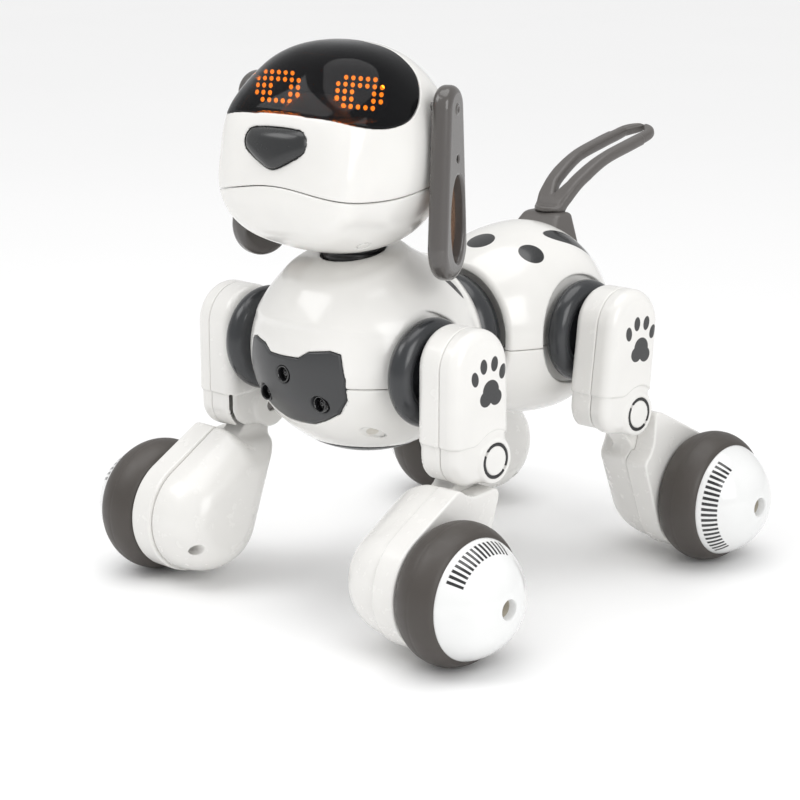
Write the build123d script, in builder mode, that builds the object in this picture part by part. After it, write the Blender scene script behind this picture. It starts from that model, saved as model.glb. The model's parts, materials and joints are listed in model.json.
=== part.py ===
"""Toy robot dog on four powered wheels, as an assembly of separate moulded and turned pieces.

Millimetres. +Z is up, the dog faces -Y and its left side is +X. The origin is on the ground, under
the middle of the overall length. The head is stored turned a little to the dog's left.
"""
from build123d import *
import math
import os

os.makedirs("parts", exist_ok=True)

# ---------------------------------------------------------------- driving dimensions
MID_Y = -16.75             # middle of the wheelbase
WHEEL_R = 31.0
TYRE_W = 21.2
WALL = 2.2                 # moulded wall thickness
PLAY = 0.05                # radial clearance of a running fit

CHEST_R = 50.0             # the chest is round in plan
CHEST_H = 46.5             # its half-height
CHEST_Y = MID_Y - 51.0
CHEST_Z = 115.0
CHEST_BACK = 45.0          # the back of the chest is cut flat this far behind its middle
SEAM_Z = 107.0             # upper and lower body shells meet here
WAIST_Z = 112.0
WAIST_SHAFT_R = 10.0
RUMP_R = 46.0
RUMP_Y = MID_Y + 56.0
RUMP_REAR = 36.0           # length of the rump behind its widest section
RUMP_FRONT = 67.0          # half-length of the longer ellipse ahead of it, cut off at the rim
RIM_Y = MID_Y + 9.0
RUMP_WALL_Y = MID_Y + 15.0 # front wall of the rump, recessed inside the rim

NECK_Y = MID_Y - 59.5
NECK_R = 13.5
NECK_BORE_R = 14.4
NECK_SPIGOT_R = 8.0
NECK_FLOOR_Z = 143.0
HEAD_TURN = 7.5            # degrees to the dog's left

SHOULDER = (MID_Y - 64.0, 113.0)       # Y and Z of the front leg axis
HIP = (MID_Y + 49.6, 112.0)
HIND_LEAN = -7.0                       # degrees, knee carried forward
KNEE = (8.3, -35.0)                    # from the leg axis, in the thigh's own upright frame
SHANK = 60.65                          # knee axis to wheel axis
FRONT_OUT = 7.5                        # the front legs stand this much further out

# X of the faces across a rear leg, from the body outwards
DISC_IN, DISC_OUT, DISC_R = 36.6, 49.0, 24.8
POCKET_IN, POCKET_R = 36.0, 25.6       # pocket in the body that the disc turns in
LEG_SHAFT_R = 7.0
THIGH_IN, THIGH_SEAM, THIGH_OUT, THIGH_R = 50.0, 64.0, 73.5, 17.6
LUG_IN, LUG_OUT, LUG_R = 52.6, 64.8, 7.0
PIN_R = 2.5
SHANK_IN, SHANK_SEAM, SHANK_OUT = 38.0, 63.0, 75.3
TYRE_IN = 75.8
CAP_RISE = 18.3                        # height of the wheel cap's dome beyond the tyre
AXLE_R = 2.0


# ---------------------------------------------------------------- shared shapes
POLE = 0.999               # share of an ellipse's half-length that is kept at its poles


def save(piece, name):
    """Writes one finished sub-part under its own name."""
    piece.label = name
    export_step(piece, f"parts/{name}.step")


def spheroid(centre, across, along, axis_dir):
    """A solid ellipse of revolution: radius `across`, half-length `along` its axis.

    Each pole carries a tiny flat, a thousandth of the half-length deep.
    """
    side = (1, 0, 0) if abs(axis_dir[0]) < 0.5 else (0, 1, 0)
    normal = Vector(*side).cross(Vector(*axis_dir))
    with BuildPart() as body:
        with BuildSketch(Plane(origin=centre, x_dir=side, z_dir=normal)):
            Ellipse(across, along)
            Rectangle(across, 2 * POLE * along, align=(Align.MIN, Align.CENTER), mode=Mode.INTERSECT)
        revolve(axis=Axis(centre, axis_dir))
    return body.part


def disc_sketch(centre, normal, radius):
    """A round face."""
    with BuildSketch(Plane(origin=centre, z_dir=normal)) as face:
        Circle(radius)
    return face.sketch


# ---------------------------------------------------------------- chest
NECK_SCOOP = Plane(origin=(0, NECK_Y, 156), z_dir=(0, -0.2, 1))   # the neck rim is lower in front

chest_outer = spheroid((0, CHEST_Y, CHEST_Z), CHEST_R, CHEST_H, (0, 0, 1))
chest_inner = spheroid((0, CHEST_Y, CHEST_Z), CHEST_R - WALL, CHEST_H - WALL, (0, 0, 1))

with BuildPart() as chest_hollow:
    add(chest_inner)
    with Locations((0, CHEST_Y, CHEST_Z)):
        Box(2 * (POCKET_IN + FRONT_OUT - WALL), 4 * CHEST_R, 4 * CHEST_R, mode=Mode.INTERSECT)
    with Locations((0, CHEST_Y + CHEST_BACK - WALL, CHEST_Z)):
        Box(4 * CHEST_R, CHEST_R, 4 * CHEST_R, align=(Align.CENTER, Align.MIN, Align.CENTER),
            mode=Mode.SUBTRACT)
    # the neck tube and its bearing floor stay solid
    extrude(disc_sketch((0, NECK_Y, NECK_FLOOR_Z - 3), (0, 0, 1), NECK_BORE_R + WALL), amount=30,
            mode=Mode.SUBTRACT)

with BuildPart() as chest_shell:
    add(chest_outer)
    with BuildSketch(Plane(origin=(0, NECK_Y, 146))):
        Circle(31)
    with BuildSketch(Plane(origin=(0, NECK_Y, 162))):
        Circle(21.7)
    loft()
    split(bisect_by=NECK_SCOOP, keep=Keep.BOTTOM)
    add(chest_hollow.part, mode=Mode.SUBTRACT)
    with Locations((0, CHEST_Y + CHEST_BACK, CHEST_Z)):
        Box(4 * CHEST_R, CHEST_R, 4 * CHEST_R, align=(Align.CENTER, Align.MIN, Align.CENTER),
            mode=Mode.SUBTRACT)
    # neck bore and the hole in its floor
    extrude(disc_sketch((0, NECK_Y, NECK_FLOOR_Z), (0, 0, 1), NECK_BORE_R), amount=30, mode=Mode.SUBTRACT)
    extrude(disc_sketch((0, NECK_Y, NECK_FLOOR_Z), (0, 0, 1), NECK_SPIGOT_R + PLAY), amount=-5,
            mode=Mode.SUBTRACT)
    # pockets that the shoulder discs turn in, and the holes for the leg shafts
    for side in (1, -1):
        floor = (side * (POCKET_IN + FRONT_OUT), *SHOULDER)
        extrude(disc_sketch(floor, (side, 0, 0), POCKET_R), amount=30, mode=Mode.SUBTRACT)
        extrude(disc_sketch(floor, (-side, 0, 0), LEG_SHAFT_R + PLAY), amount=8, mode=Mode.SUBTRACT)
    # seat of the waist collar
    extrude(disc_sketch((0, CHEST_Y + CHEST_BACK, WAIST_Z), (0, -1, 0), WAIST_SHAFT_R), amount=8,
            mode=Mode.SUBTRACT)

# dark mask-shaped panel on the breast, with three sensor ports
FRONT_PLANE = Plane(origin=(0, CHEST_Y, 0), x_dir=(1, 0, 0), z_dir=(0, -1, 0))
PANEL_HALF = 29.5
PANEL_TOP = 122.5
PANEL_BOTTOM = 87.0
PANEL_GAP = 0.15
PORT_R = 3.8
PORTS = ((0, 110.8), (-16.5, 99.0), (16.5, 99.0))


def panel_outline(inset):
    """Mask shape with two raised corners, seen from the front."""
    half = PANEL_HALF - inset
    top = PANEL_TOP - inset
    with BuildSketch(FRONT_PLANE) as outline:
        with BuildLine():
            Spline((-half, 109), (-24, top), (-14, top - 1), (0, top - 3.5), (14, top - 1), (24, top),
                   (half, 109))
            Spline((half, 109), (20, 92 + inset), (0, PANEL_BOTTOM + inset), (-20, 92 + inset),
                   (-half, 109))
        make_face()
    return outline.sketch


def port_sketch(radius):
    """The three port circles, seen from the front."""
    with BuildSketch(FRONT_PLANE) as ports:
        with Locations(*PORTS):
            Circle(radius)
    return ports.sketch


panel_face = panel_outline(PANEL_GAP)
panel_hole = panel_outline(0)
panel_skin = spheroid((0, CHEST_Y, CHEST_Z), CHEST_R + 0.5, CHEST_H + 0.5, (0, 0, 1))
lens_skin = spheroid((0, CHEST_Y, CHEST_Z), CHEST_R - 1.2, CHEST_H - 1.2, (0, 0, 1))
lens_back = spheroid((0, CHEST_Y, CHEST_Z), CHEST_R - 4.2, CHEST_H - 4.2, (0, 0, 1))

with BuildPart() as chest_panel:
    extrude(panel_face, amount=80)
    add(panel_skin, mode=Mode.INTERSECT)
    add(chest_inner, mode=Mode.SUBTRACT)
    extrude(port_sketch(PORT_R), amount=80, mode=Mode.SUBTRACT)

with BuildPart() as sensor_lenses:
    extrude(port_sketch(PORT_R), amount=80)
    add(lens_skin, mode=Mode.INTERSECT)
    add(lens_back, mode=Mode.SUBTRACT)

# round battery hatch under the belly
HATCH_R = 24.0
hatch_disc = disc_sketch((0, CHEST_Y - 2, CHEST_Z - 20), (0, 0, -1), HATCH_R - 0.2)
with BuildPart() as battery_cover:
    extrude(hatch_disc, amount=60)
    add(chest_outer, mode=Mode.INTERSECT)
    add(chest_inner, mode=Mode.SUBTRACT)

with BuildPart() as chest_upper:
    add(chest_shell.part)
    extrude(panel_hole, amount=80, mode=Mode.SUBTRACT)
    split(bisect_by=Plane.XY.offset(SEAM_Z), keep=Keep.TOP)

with BuildPart() as chest_lower:
    add(chest_shell.part)
    extrude(panel_hole, amount=80, mode=Mode.SUBTRACT)
    extrude(disc_sketch((0, CHEST_Y - 2, CHEST_Z - 20), (0, 0, -1), HATCH_R), amount=60,
            mode=Mode.SUBTRACT)
    split(bisect_by=Plane.XY.offset(SEAM_Z), keep=Keep.BOTTOM)


# ---------------------------------------------------------------- rump
def rump_form(inset):
    """Egg-shaped rump, inset all round: a short ellipse behind, a long one ahead, open at the rim."""
    with BuildPart() as form:
        with BuildSketch(Plane(origin=(0, RUMP_Y, WAIST_Z), x_dir=(0, 1, 0), z_dir=(1, 0, 0))):
            with BuildLine():
                EllipticalCenterArc((0, 0), RUMP_REAR - inset, RUMP_R - inset, 0, arc_size=90)
                Line((0, RUMP_R - inset), (0, 0))
                Line((0, 0), (RUMP_REAR - inset, 0))
            make_face()
            with BuildLine():
                EllipticalCenterArc((0, 0), RUMP_FRONT - inset, RUMP_R - inset, 90, arc_size=90)
                Line((inset - RUMP_FRONT, 0), (0, 0))
                Line((0, 0), (0, RUMP_R - inset))
            make_face()
            with Locations((RIM_Y - RUMP_Y, 0)):
                Rectangle(RUMP_FRONT, 4 * RUMP_R, align=(Align.MAX, Align.CENTER), mode=Mode.SUBTRACT)
            with Locations((POLE * (RUMP_REAR - inset), 0)):
                Rectangle(RUMP_REAR, 4 * RUMP_R, align=(Align.MIN, Align.CENTER), mode=Mode.SUBTRACT)
        revolve(axis=Axis((0, RUMP_Y, WAIST_Z), (0, 1, 0)))
    return form.part


rump_outer = rump_form(0)
rump_inner = rump_form(WALL)
rump_wall = Plane(origin=(0, RUMP_WALL_Y, WAIST_Z), z_dir=(0, 1, 0))

with BuildPart() as rump_mouth:
    add(rump_inner)
    split(bisect_by=rump_wall, keep=Keep.BOTTOM)

with BuildPart() as rump_hollow:
    add(rump_inner)
    split(bisect_by=rump_wall.offset(WALL), keep=Keep.TOP)
    with Locations((0, RUMP_Y, WAIST_Z)):
        Box(2 * (POCKET_IN - WALL), 4 * RUMP_REAR, 4 * RUMP_R, mode=Mode.INTERSECT)

# slide switch under the rump, and the slot that it moves in
SWITCH_Y = RUMP_Y
SWITCH_TRAVEL = 3.0
KNOB = (4.0, 5.0, 4.6)
KNOB_BASE_Z = WAIST_Z - RUMP_R - 0.8
SLOT_LENGTH = KNOB[1] + SWITCH_TRAVEL + 0.6

with BuildPart() as rump_shell:
    add(rump_outer)
    add(rump_mouth.part, mode=Mode.SUBTRACT)
    add(rump_hollow.part, mode=Mode.SUBTRACT)
    extrude(disc_sketch((0, RUMP_WALL_Y - 1, WAIST_Z), (0, 1, 0), WAIST_SHAFT_R + PLAY), amount=2 * WALL,
            mode=Mode.SUBTRACT)
    for side in (1, -1):
        floor = (side * POCKET_IN, *HIP)
        extrude(disc_sketch(floor, (side, 0, 0), POCKET_R), amount=30, mode=Mode.SUBTRACT)
        extrude(disc_sketch(floor, (-side, 0, 0), LEG_SHAFT_R + PLAY), amount=8, mode=Mode.SUBTRACT)
    with Locations((0, SWITCH_Y + SWITCH_TRAVEL / 2, WAIST_Z - RUMP_R)):
        Box(KNOB[0] + 0.6, SLOT_LENGTH, 3 * WALL, mode=Mode.SUBTRACT)

with BuildPart() as rump_upper:
    add(rump_shell.part)
    split(bisect_by=Plane.XY.offset(SEAM_Z), keep=Keep.TOP)

with BuildPart() as rump_lower:
    add(rump_shell.part)
    split(bisect_by=Plane.XY.offset(SEAM_Z), keep=Keep.BOTTOM)

with BuildPart() as power_switch:
    with Locations((0, SWITCH_Y, KNOB_BASE_Z)):
        Box(*KNOB, align=(Align.CENTER, Align.CENTER, Align.MIN))
    with Locations((0, SWITCH_Y, KNOB_BASE_Z + KNOB[2])):
        Box(8, 8, 1.4, align=(Align.CENTER, Align.CENTER, Align.MIN))

# dark collar between the two halves of the body: a bellied disc on a hollow shaft
FLANGE_Y = CHEST_Y + CHEST_BACK
FLANGE_END = RUMP_WALL_Y - 0.4
COLLAR_R = 29.0
with BuildPart() as waist_collar:
    with BuildSketch(Plane(origin=(0, 0, WAIST_Z), x_dir=(0, 1, 0), z_dir=(1, 0, 0))):
        with BuildLine():
            Line((FLANGE_Y, 0), (FLANGE_Y, 20))
            ThreePointArc((FLANGE_Y, 20), (FLANGE_Y + 8, COLLAR_R), (FLANGE_Y + 17, 24))
            Line((FLANGE_Y + 17, 24), (FLANGE_END, 18))
            Line((FLANGE_END, 18), (FLANGE_END, 0))
            Line((FLANGE_END, 0), (FLANGE_Y, 0))
        make_face()
    revolve(axis=Axis((0, 0, WAIST_Z), (0, 1, 0)))
    with BuildSketch(Plane(origin=(0, FLANGE_Y - 5, WAIST_Z), z_dir=(0, 1, 0))):
        Circle(WAIST_SHAFT_R)
    extrude(amount=RUMP_WALL_Y + WALL + 3 - FLANGE_Y + 5)
    with BuildSketch(Plane(origin=(0, FLANGE_Y - 5, WAIST_Z), z_dir=(0, 1, 0))):
        Circle(WAIST_SHAFT_R - 3)
    extrude(amount=80, mode=Mode.SUBTRACT)

# ---------------------------------------------------------------- tail
TAIL_Y = MID_Y + 75.5
TAIL_FOOT_R = 4.0
TAIL_BASE_TOP = 160.5
TAIL_LINE = ((TAIL_Y, 163.2), (TAIL_Y + 4, 169), (TAIL_Y + 12, 176.5), (TAIL_Y + 28, 184.6),
             (TAIL_Y + 50, 188.0), (TAIL_Y + 86, 192.0))
RIBBON = 5.4               # thickness of the tail
TAIL_TIP = MID_Y + 158.5

with BuildPart() as tail_base:
    with BuildSketch(Plane(origin=(0, TAIL_Y, 143))):
        Rectangle(41, 17)
    with BuildSketch(Plane(origin=(0, TAIL_Y, TAIL_BASE_TOP))):
        RectangleRounded(23, 11, 1.5)
    loft()
    add(rump_outer, mode=Mode.SUBTRACT)
    with BuildSketch(Plane(origin=(0, TAIL_Y, TAIL_BASE_TOP))):
        Circle(TAIL_FOOT_R + PLAY)
    extrude(amount=-6, mode=Mode.SUBTRACT)

with BuildPart() as tail:
    # side view of the curved ribbon, as wide as the tail
    with BuildSketch(Plane(origin=(-15, 0, 0), x_dir=(0, 1, 0), z_dir=(1, 0, 0))):
        with BuildLine():
            Spline([(y, z + RIBBON / 2) if i else (y - RIBBON / 2, z) for i, (y, z) in enumerate(TAIL_LINE)])
            Spline([(y, z - RIBBON / 2) if i else (y + RIBBON / 2, z - 2) for i, (y, z) in enumerate(TAIL_LINE)])
            Line((TAIL_Y - RIBBON / 2, TAIL_LINE[0][1]), (TAIL_Y + RIBBON / 2, TAIL_LINE[0][1] - 2))
            Line((TAIL_LINE[-1][0], TAIL_LINE[-1][1] + RIBBON / 2), (TAIL_LINE[-1][0], TAIL_LINE[-1][1] - RIBBON / 2))
        make_face()
    extrude(amount=30)
    # plan view: a long slot between two strands that meet in a rounded tip
    with BuildSketch(Plane.XY.offset(150)):
        with BuildLine():
            Spline((-9.6, TAIL_Y - 6), (-11.6, TAIL_Y + 18), (-11.6, TAIL_Y + 60), (0, TAIL_TIP),
                   (11.6, TAIL_Y + 60), (11.6, TAIL_Y + 18), (9.6, TAIL_Y - 6),
                   tangents=((0, 1), (0, -1)))
            Line((9.6, TAIL_Y - 6), (-9.6, TAIL_Y - 6))
        make_face()
        with Locations((0, TAIL_Y + 33)):
            SlotOverall(60, 10.4, rotation=90, mode=Mode.SUBTRACT)
    extrude(amount=60, mode=Mode.INTERSECT)
    extrude(disc_sketch((0, TAIL_Y, TAIL_BASE_TOP + 0.3), (0, 0, 1), 7.5), amount=3)
    extrude(disc_sketch((0, TAIL_Y, TAIL_BASE_TOP - 5.5), (0, 0, 1), TAIL_FOOT_R), amount=7)

# ---------------------------------------------------------------- head, drawn facing straight ahead
# on its own axes: the neck axis is the origin in plan, heights are true
HEAD = Location((0, NECK_Y, 0), (0, 0, HEAD_TURN))
SKULL_R, SKULL_L = 46.5, 37.0          # round seen from the front, shorter front to back
SKULL = (0, -8.0, 206.0)
MUZZLE_R, MUZZLE_H = 40.5, 30.5        # round seen from above
MUZZLE = (0, -20.0, 193.5)
MOUTH_Z = 190.5
VISOR_Z = 221.0                        # lower edge of the visor
VISOR_Y = -8.0                         # its rear edge


def head_form(inset):
    """Skull and muzzle as one solid, inset all round."""
    with BuildPart() as form:
        add(spheroid(SKULL, SKULL_R - inset, SKULL_L - inset, (0, 1, 0)))
        add(spheroid(MUZZLE, MUZZLE_R - inset, MUZZLE_H - inset, (0, 0, 1)))
    return form.part


EAR_X = 50.6               # middle of the ear's thickness
EAR_Y = 1.0
EAR_SPLAY = 15.0           # degrees, front edge away from the head
EAR_T = 7.5
EAR_PIVOT_Z = 225.0
EAR_TOP_R, EAR_LOW_R = 10.0, 15.0
EAR_LOW_Z = 166.5
EAR_STUB_R = 3.0
EAR_HOLE = (2.0, 178.0, 8.0, 18.5)     # across, height, half-width, half-height
EAR = {side: Location((side * EAR_X, EAR_Y, 0), (0, 0, side * EAR_SPLAY)) for side in (1, -1)}

head_outer = head_form(0)
head_inner = head_form(WALL)
skull_proud = spheroid(SKULL, SKULL_R + 0.4, SKULL_L + 0.4, (0, 1, 0))
skull_inner = spheroid(SKULL, SKULL_R - WALL, SKULL_L - WALL, (0, 1, 0))
muzzle_outer = spheroid(MUZZLE, MUZZLE_R, MUZZLE_H, (0, 0, 1))
nose_limit = spheroid(MUZZLE, MUZZLE_R + 3, MUZZLE_H + 3, (0, 0, 1))

with BuildPart() as ear_stub_bores:
    for side in (1, -1):
        bore_plane = Plane(EAR[side] * Location((0, 0, EAR_PIVOT_Z), (0, 90, 0)))
        with BuildSketch(bore_plane):
            Circle(EAR_STUB_R + PLAY)
        extrude(amount=30, both=True)

with BuildPart() as head_shell:
    add(head_outer)
    add(head_inner, mode=Mode.SUBTRACT)
    split(bisect_by=Plane.XY.offset(MOUTH_Z), keep=Keep.TOP)
    with Locations((0, VISOR_Y, VISOR_Z)):
        Box(4 * SKULL_R, 100, 100, align=(Align.CENTER, Align.MAX, Align.MIN), mode=Mode.SUBTRACT)
    add(ear_stub_bores.part, mode=Mode.SUBTRACT)

with BuildPart() as jaw_shell:
    add(head_outer)
    add(head_inner, mode=Mode.SUBTRACT)
    split(bisect_by=Plane.XY.offset(MOUTH_Z), keep=Keep.BOTTOM)
    extrude(disc_sketch((0, 0, 150), (0, 0, 1), NECK_R), amount=30, mode=Mode.SUBTRACT)

with BuildPart() as visor:
    add(skull_proud)
    add(skull_inner, mode=Mode.SUBTRACT)
    with Locations((0, VISOR_Y, VISOR_Z)):
        Box(4 * SKULL_R, 100, 100, align=(Align.CENTER, Align.MAX, Align.MIN), mode=Mode.INTERSECT)
    add(muzzle_outer, mode=Mode.SUBTRACT)

with BuildPart() as eye_display:
    with Locations((0, -24, 230.5)):
        Box(44, 2, 14)

with BuildPart() as nose:
    with BuildSketch(Plane(origin=(0, -40, 0), x_dir=(1, 0, 0), z_dir=(0, -1, 0))):
        with Locations((-11.5, 212.5), (11.5, 212.5)):
            Circle(5)
        with Locations((0, 208.5)):
            Circle(8)
        with Locations((0, 211)):
            Circle(8)
        make_hull()
    extrude(amount=50)
    add(nose_limit, mode=Mode.INTERSECT)
    add(head_outer, mode=Mode.SUBTRACT)

with BuildPart() as neck_post:
    extrude(disc_sketch((0, 0, NECK_FLOOR_Z + 0.3), (0, 0, 1), NECK_R), amount=174 - NECK_FLOOR_Z)
    extrude(disc_sketch((0, 0, NECK_FLOOR_Z - 3.6), (0, 0, 1), NECK_SPIGOT_R), amount=5)

# one ear, flat in the YZ plane with its outer face towards +X
with BuildPart() as ear:
    with BuildSketch(Plane.YZ.offset(-EAR_T / 2)):
        with Locations((0, EAR_PIVOT_Z)):
            Circle(EAR_TOP_R)
        with Locations((0, EAR_LOW_Z)):
            Circle(EAR_LOW_R)
        make_hull()
        with Locations((EAR_HOLE[0], EAR_HOLE[1])):
            Ellipse(EAR_HOLE[2], EAR_HOLE[3], mode=Mode.SUBTRACT)
    extrude(amount=EAR_T)
    fillet(ear.edges().filter_by(GeomType.ELLIPSE, reverse=True).filter_by(lambda e: abs(e.center().X) > 3.7), radius=2.4)
    extrude(disc_sketch((-EAR_T / 2 + 1, 0, EAR_PIVOT_Z), (-1, 0, 0), EAR_STUB_R), amount=11)

# ---------------------------------------------------------------- legs, drawn as a rear left one
# thigh pieces have the leg axis at Y = Z = 0, shank pieces the knee axis; X is true
TOE = (-4.6, -32.0, 13.0)              # Y, Z and radius of the thigh's lower front corner
BOSS_R = 10.5
THIGH_TOP = 5.4                        # centre of its round top, above the leg axis
LEG_X = Axis((0, 0, 0), (1, 0, 0))


def thigh_outline(x, inset):
    """Side view of the thigh: a round top, and a lower edge from the toe to the knee boss."""
    with BuildSketch(Plane.YZ.offset(x)) as outline:
        with Locations((0, THIGH_TOP)):
            Circle(THIGH_R - inset)
        with Locations(TOE[:2]):
            Circle(TOE[2] - inset)
        with Locations(KNEE):
            Circle(BOSS_R - inset)
        make_hull()
    return outline.sketch


def at_knee(x, radius):
    """A circle about the knee axis, in the thigh's frame."""
    return disc_sketch((x, *KNEE), (1, 0, 0), radius)


with BuildPart() as shoulder_disc:
    with BuildSketch(Plane.XZ):
        with BuildLine():
            Polyline((DISC_IN, 0), (DISC_IN, 19))
            ThreePointArc((DISC_IN, 19), (DISC_IN + 6.2, DISC_R), (DISC_OUT, 18.5))
            Polyline((DISC_OUT, 18.5), (DISC_OUT - 3.5, 14), (DISC_OUT - 3.5, 9), (THIGH_IN, 9), (THIGH_IN, 0),
                     (DISC_IN, 0))
        make_face()
    revolve(axis=LEG_X)
    extrude(disc_sketch((DISC_IN, 0, 0), (-1, 0, 0), LEG_SHAFT_R), amount=9)

# the knee lug of the shank swings in a slot that is open below and behind
lug_slot = Plane.YZ.offset(LUG_IN - 0.6)
LUG_SLOT_W = LUG_OUT - LUG_IN + 1.2

with BuildPart() as thigh_slot:
    extrude(thigh_outline(LUG_IN - 0.6, 2.0), amount=LUG_SLOT_W)
    with BuildSketch(lug_slot):
        with Locations((-11, -27)):
            Rectangle(40, 30, align=(Align.MIN, Align.MAX))
    extrude(amount=LUG_SLOT_W)

with BuildPart() as thigh_inner:
    extrude(thigh_outline(THIGH_IN, 0), amount=THIGH_SEAM - THIGH_IN)
    fillet(thigh_inner.faces().sort_by(Axis.X)[0].edges(), radius=4)
    add(thigh_slot.part, mode=Mode.SUBTRACT)
    extrude(at_knee(LUG_IN - 1.6, PIN_R), amount=5, mode=Mode.SUBTRACT)

with BuildPart() as thigh_outer:
    extrude(thigh_outline(THIGH_SEAM, 0), amount=THIGH_OUT - THIGH_SEAM)
    fillet(thigh_outer.faces().sort_by(Axis.X)[-1].edges(), radius=5)
    add(thigh_slot.part, mode=Mode.SUBTRACT)
    # hollow behind the upper panel
    with BuildSketch(Plane.YZ.offset(LUG_OUT)):
        with Locations((0, THIGH_TOP)):
            Circle(THIGH_R - 4)
        with Locations((0, -10)):
            Rectangle(2 * THIGH_R - 8, 24)
    extrude(amount=THIGH_OUT - WALL - LUG_OUT, mode=Mode.SUBTRACT)
    # ring groove round the knee, with two bridges left in it
    with BuildSketch(Plane(origin=(THIGH_OUT - 1.0, *KNEE), x_dir=(0, 1, 0), z_dir=(1, 0, 0))):
        Circle(7.7)
        Circle(6.6, mode=Mode.SUBTRACT)
        Rectangle(30, 2.0, rotation=-35, mode=Mode.SUBTRACT)
    extrude(amount=3, mode=Mode.SUBTRACT)
    extrude(at_knee(LUG_OUT, PIN_R), amount=6, mode=Mode.SUBTRACT)

with BuildPart() as knee_pin:
    extrude(at_knee(LUG_IN - 1.6, PIN_R), amount=LUG_OUT - LUG_IN + 7)

# shank
NECK_S, NECK_W = 18.0, 12.0            # upper end of the shank below the knee, and its half-width
SHANK_R = 27.5
FOLD = math.radians(46)                # the shank can fold this far ahead of the thigh
FOLD_GAP = 0.8


def folded(y, z):
    """Where a point of the thigh comes when folded down on the shank, from the knee."""
    arm = math.hypot(y - KNEE[0], z - KNEE[1])
    angle = math.atan2(z - KNEE[1], y - KNEE[0]) + FOLD
    return (arm * math.cos(angle), arm * math.sin(angle))


def notch_outline(gap):
    """Side view of the folded thigh, grown by a gap; its X and Y are the model's Y and Z."""
    with BuildSketch() as outline:
        with Locations(folded(0, THIGH_TOP)):
            Circle(THIGH_R + gap)
        with Locations(folded(*TOE[:2])):
            Circle(TOE[2] + gap)
        Circle(BOSS_R + gap)
        make_hull()
    return outline.sketch


def shank_outline(x, inset, radius=SHANK_R):
    """Egg-shaped side view of the shank, notched where the folded thigh comes down."""
    with BuildSketch(Plane.YZ.offset(x)) as outline:
        with Locations((0, -SHANK)):
            Circle(radius - inset)
        with Locations((0, -NECK_S)):
            Circle(NECK_W - inset)
        make_hull()
        add(notch_outline(FOLD_GAP + inset), mode=Mode.SUBTRACT)
    return outline.sketch


def lug_outline(x, extra):
    """The flat lug that carries the knee bore."""
    with BuildSketch(Plane.YZ.offset(x)) as outline:
        Circle(LUG_R + extra)
        with Locations((0, -28)):
            Circle(LUG_R + extra)
        make_hull()
    return outline.sketch


DOME_IN = 46.0
with BuildPart() as shank_inner:
    extrude(shank_outline(DOME_IN, 0, 25.5), amount=SHANK_SEAM - DOME_IN)
    with BuildSketch(Plane(origin=(DOME_IN, 0, -SHANK), z_dir=(1, 0, 0))):
        Circle(25.5)
    extrude(amount=SHANK_IN - DOME_IN)
    fillet(shank_inner.edges().filter_by(GeomType.CIRCLE).sort_by(Axis.X)[0], radius=7.5)
    extrude(shank_outline(DOME_IN + WALL, WALL, 25.5), amount=SHANK_SEAM - DOME_IN, mode=Mode.SUBTRACT)
    with BuildSketch(Plane(origin=(SHANK_IN + 3, 0, -SHANK), z_dir=(1, 0, 0))):
        Circle(17)
    extrude(amount=20, mode=Mode.SUBTRACT)
    extrude(lug_outline(LUG_IN, 0), amount=LUG_OUT - LUG_IN)
    extrude(disc_sketch((LUG_IN - 1, 0, 0), (1, 0, 0), PIN_R + PLAY), amount=20, mode=Mode.SUBTRACT)

with BuildPart() as shank_outer:
    extrude(shank_outline(SHANK_SEAM, 0), amount=SHANK_OUT - SHANK_SEAM)
    extrude(shank_outline(SHANK_SEAM, WALL), amount=SHANK_OUT - SHANK_SEAM - WALL, mode=Mode.SUBTRACT)
    extrude(lug_outline(SHANK_SEAM, 0), amount=LUG_OUT - SHANK_SEAM, mode=Mode.SUBTRACT)
    extrude(disc_sketch((SHANK_OUT + 1, 0, -SHANK), (-1, 0, 0), AXLE_R + PLAY), amount=5, mode=Mode.SUBTRACT)

# wheel, about the X axis
TYRE_OUT = TYRE_IN + TYRE_W
RIM_R = 24.2
EDGE_R = 27.0
RECESS_R = 4.25
CAP_TIP = TYRE_OUT + CAP_RISE
SCREW_SEAT = TYRE_OUT + 7
with BuildPart() as tyre:
    with BuildSketch(Plane.XZ):
        with BuildLine():
            Polyline((TYRE_IN, EDGE_R), (TYRE_IN, RIM_R), (TYRE_OUT, RIM_R), (TYRE_OUT, EDGE_R))
            ThreePointArc((TYRE_OUT, EDGE_R), ((TYRE_IN + TYRE_OUT) / 2, WHEEL_R), (TYRE_IN, EDGE_R))
        make_face()
    revolve(axis=LEG_X)

DOME_C = ((CAP_TIP ** 2 - TYRE_OUT ** 2) + RECESS_R ** 2 - (EDGE_R - 0.2) ** 2) / (2 * (CAP_TIP - TYRE_OUT))
DOME_R = math.hypot(TYRE_OUT - DOME_C, EDGE_R - 0.2)


def dome_point(x, radius):
    """Point of the cap's dome of that radius at X, in the profile plane."""
    return (x, math.sqrt(radius ** 2 - (x - DOME_C) ** 2))


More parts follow.
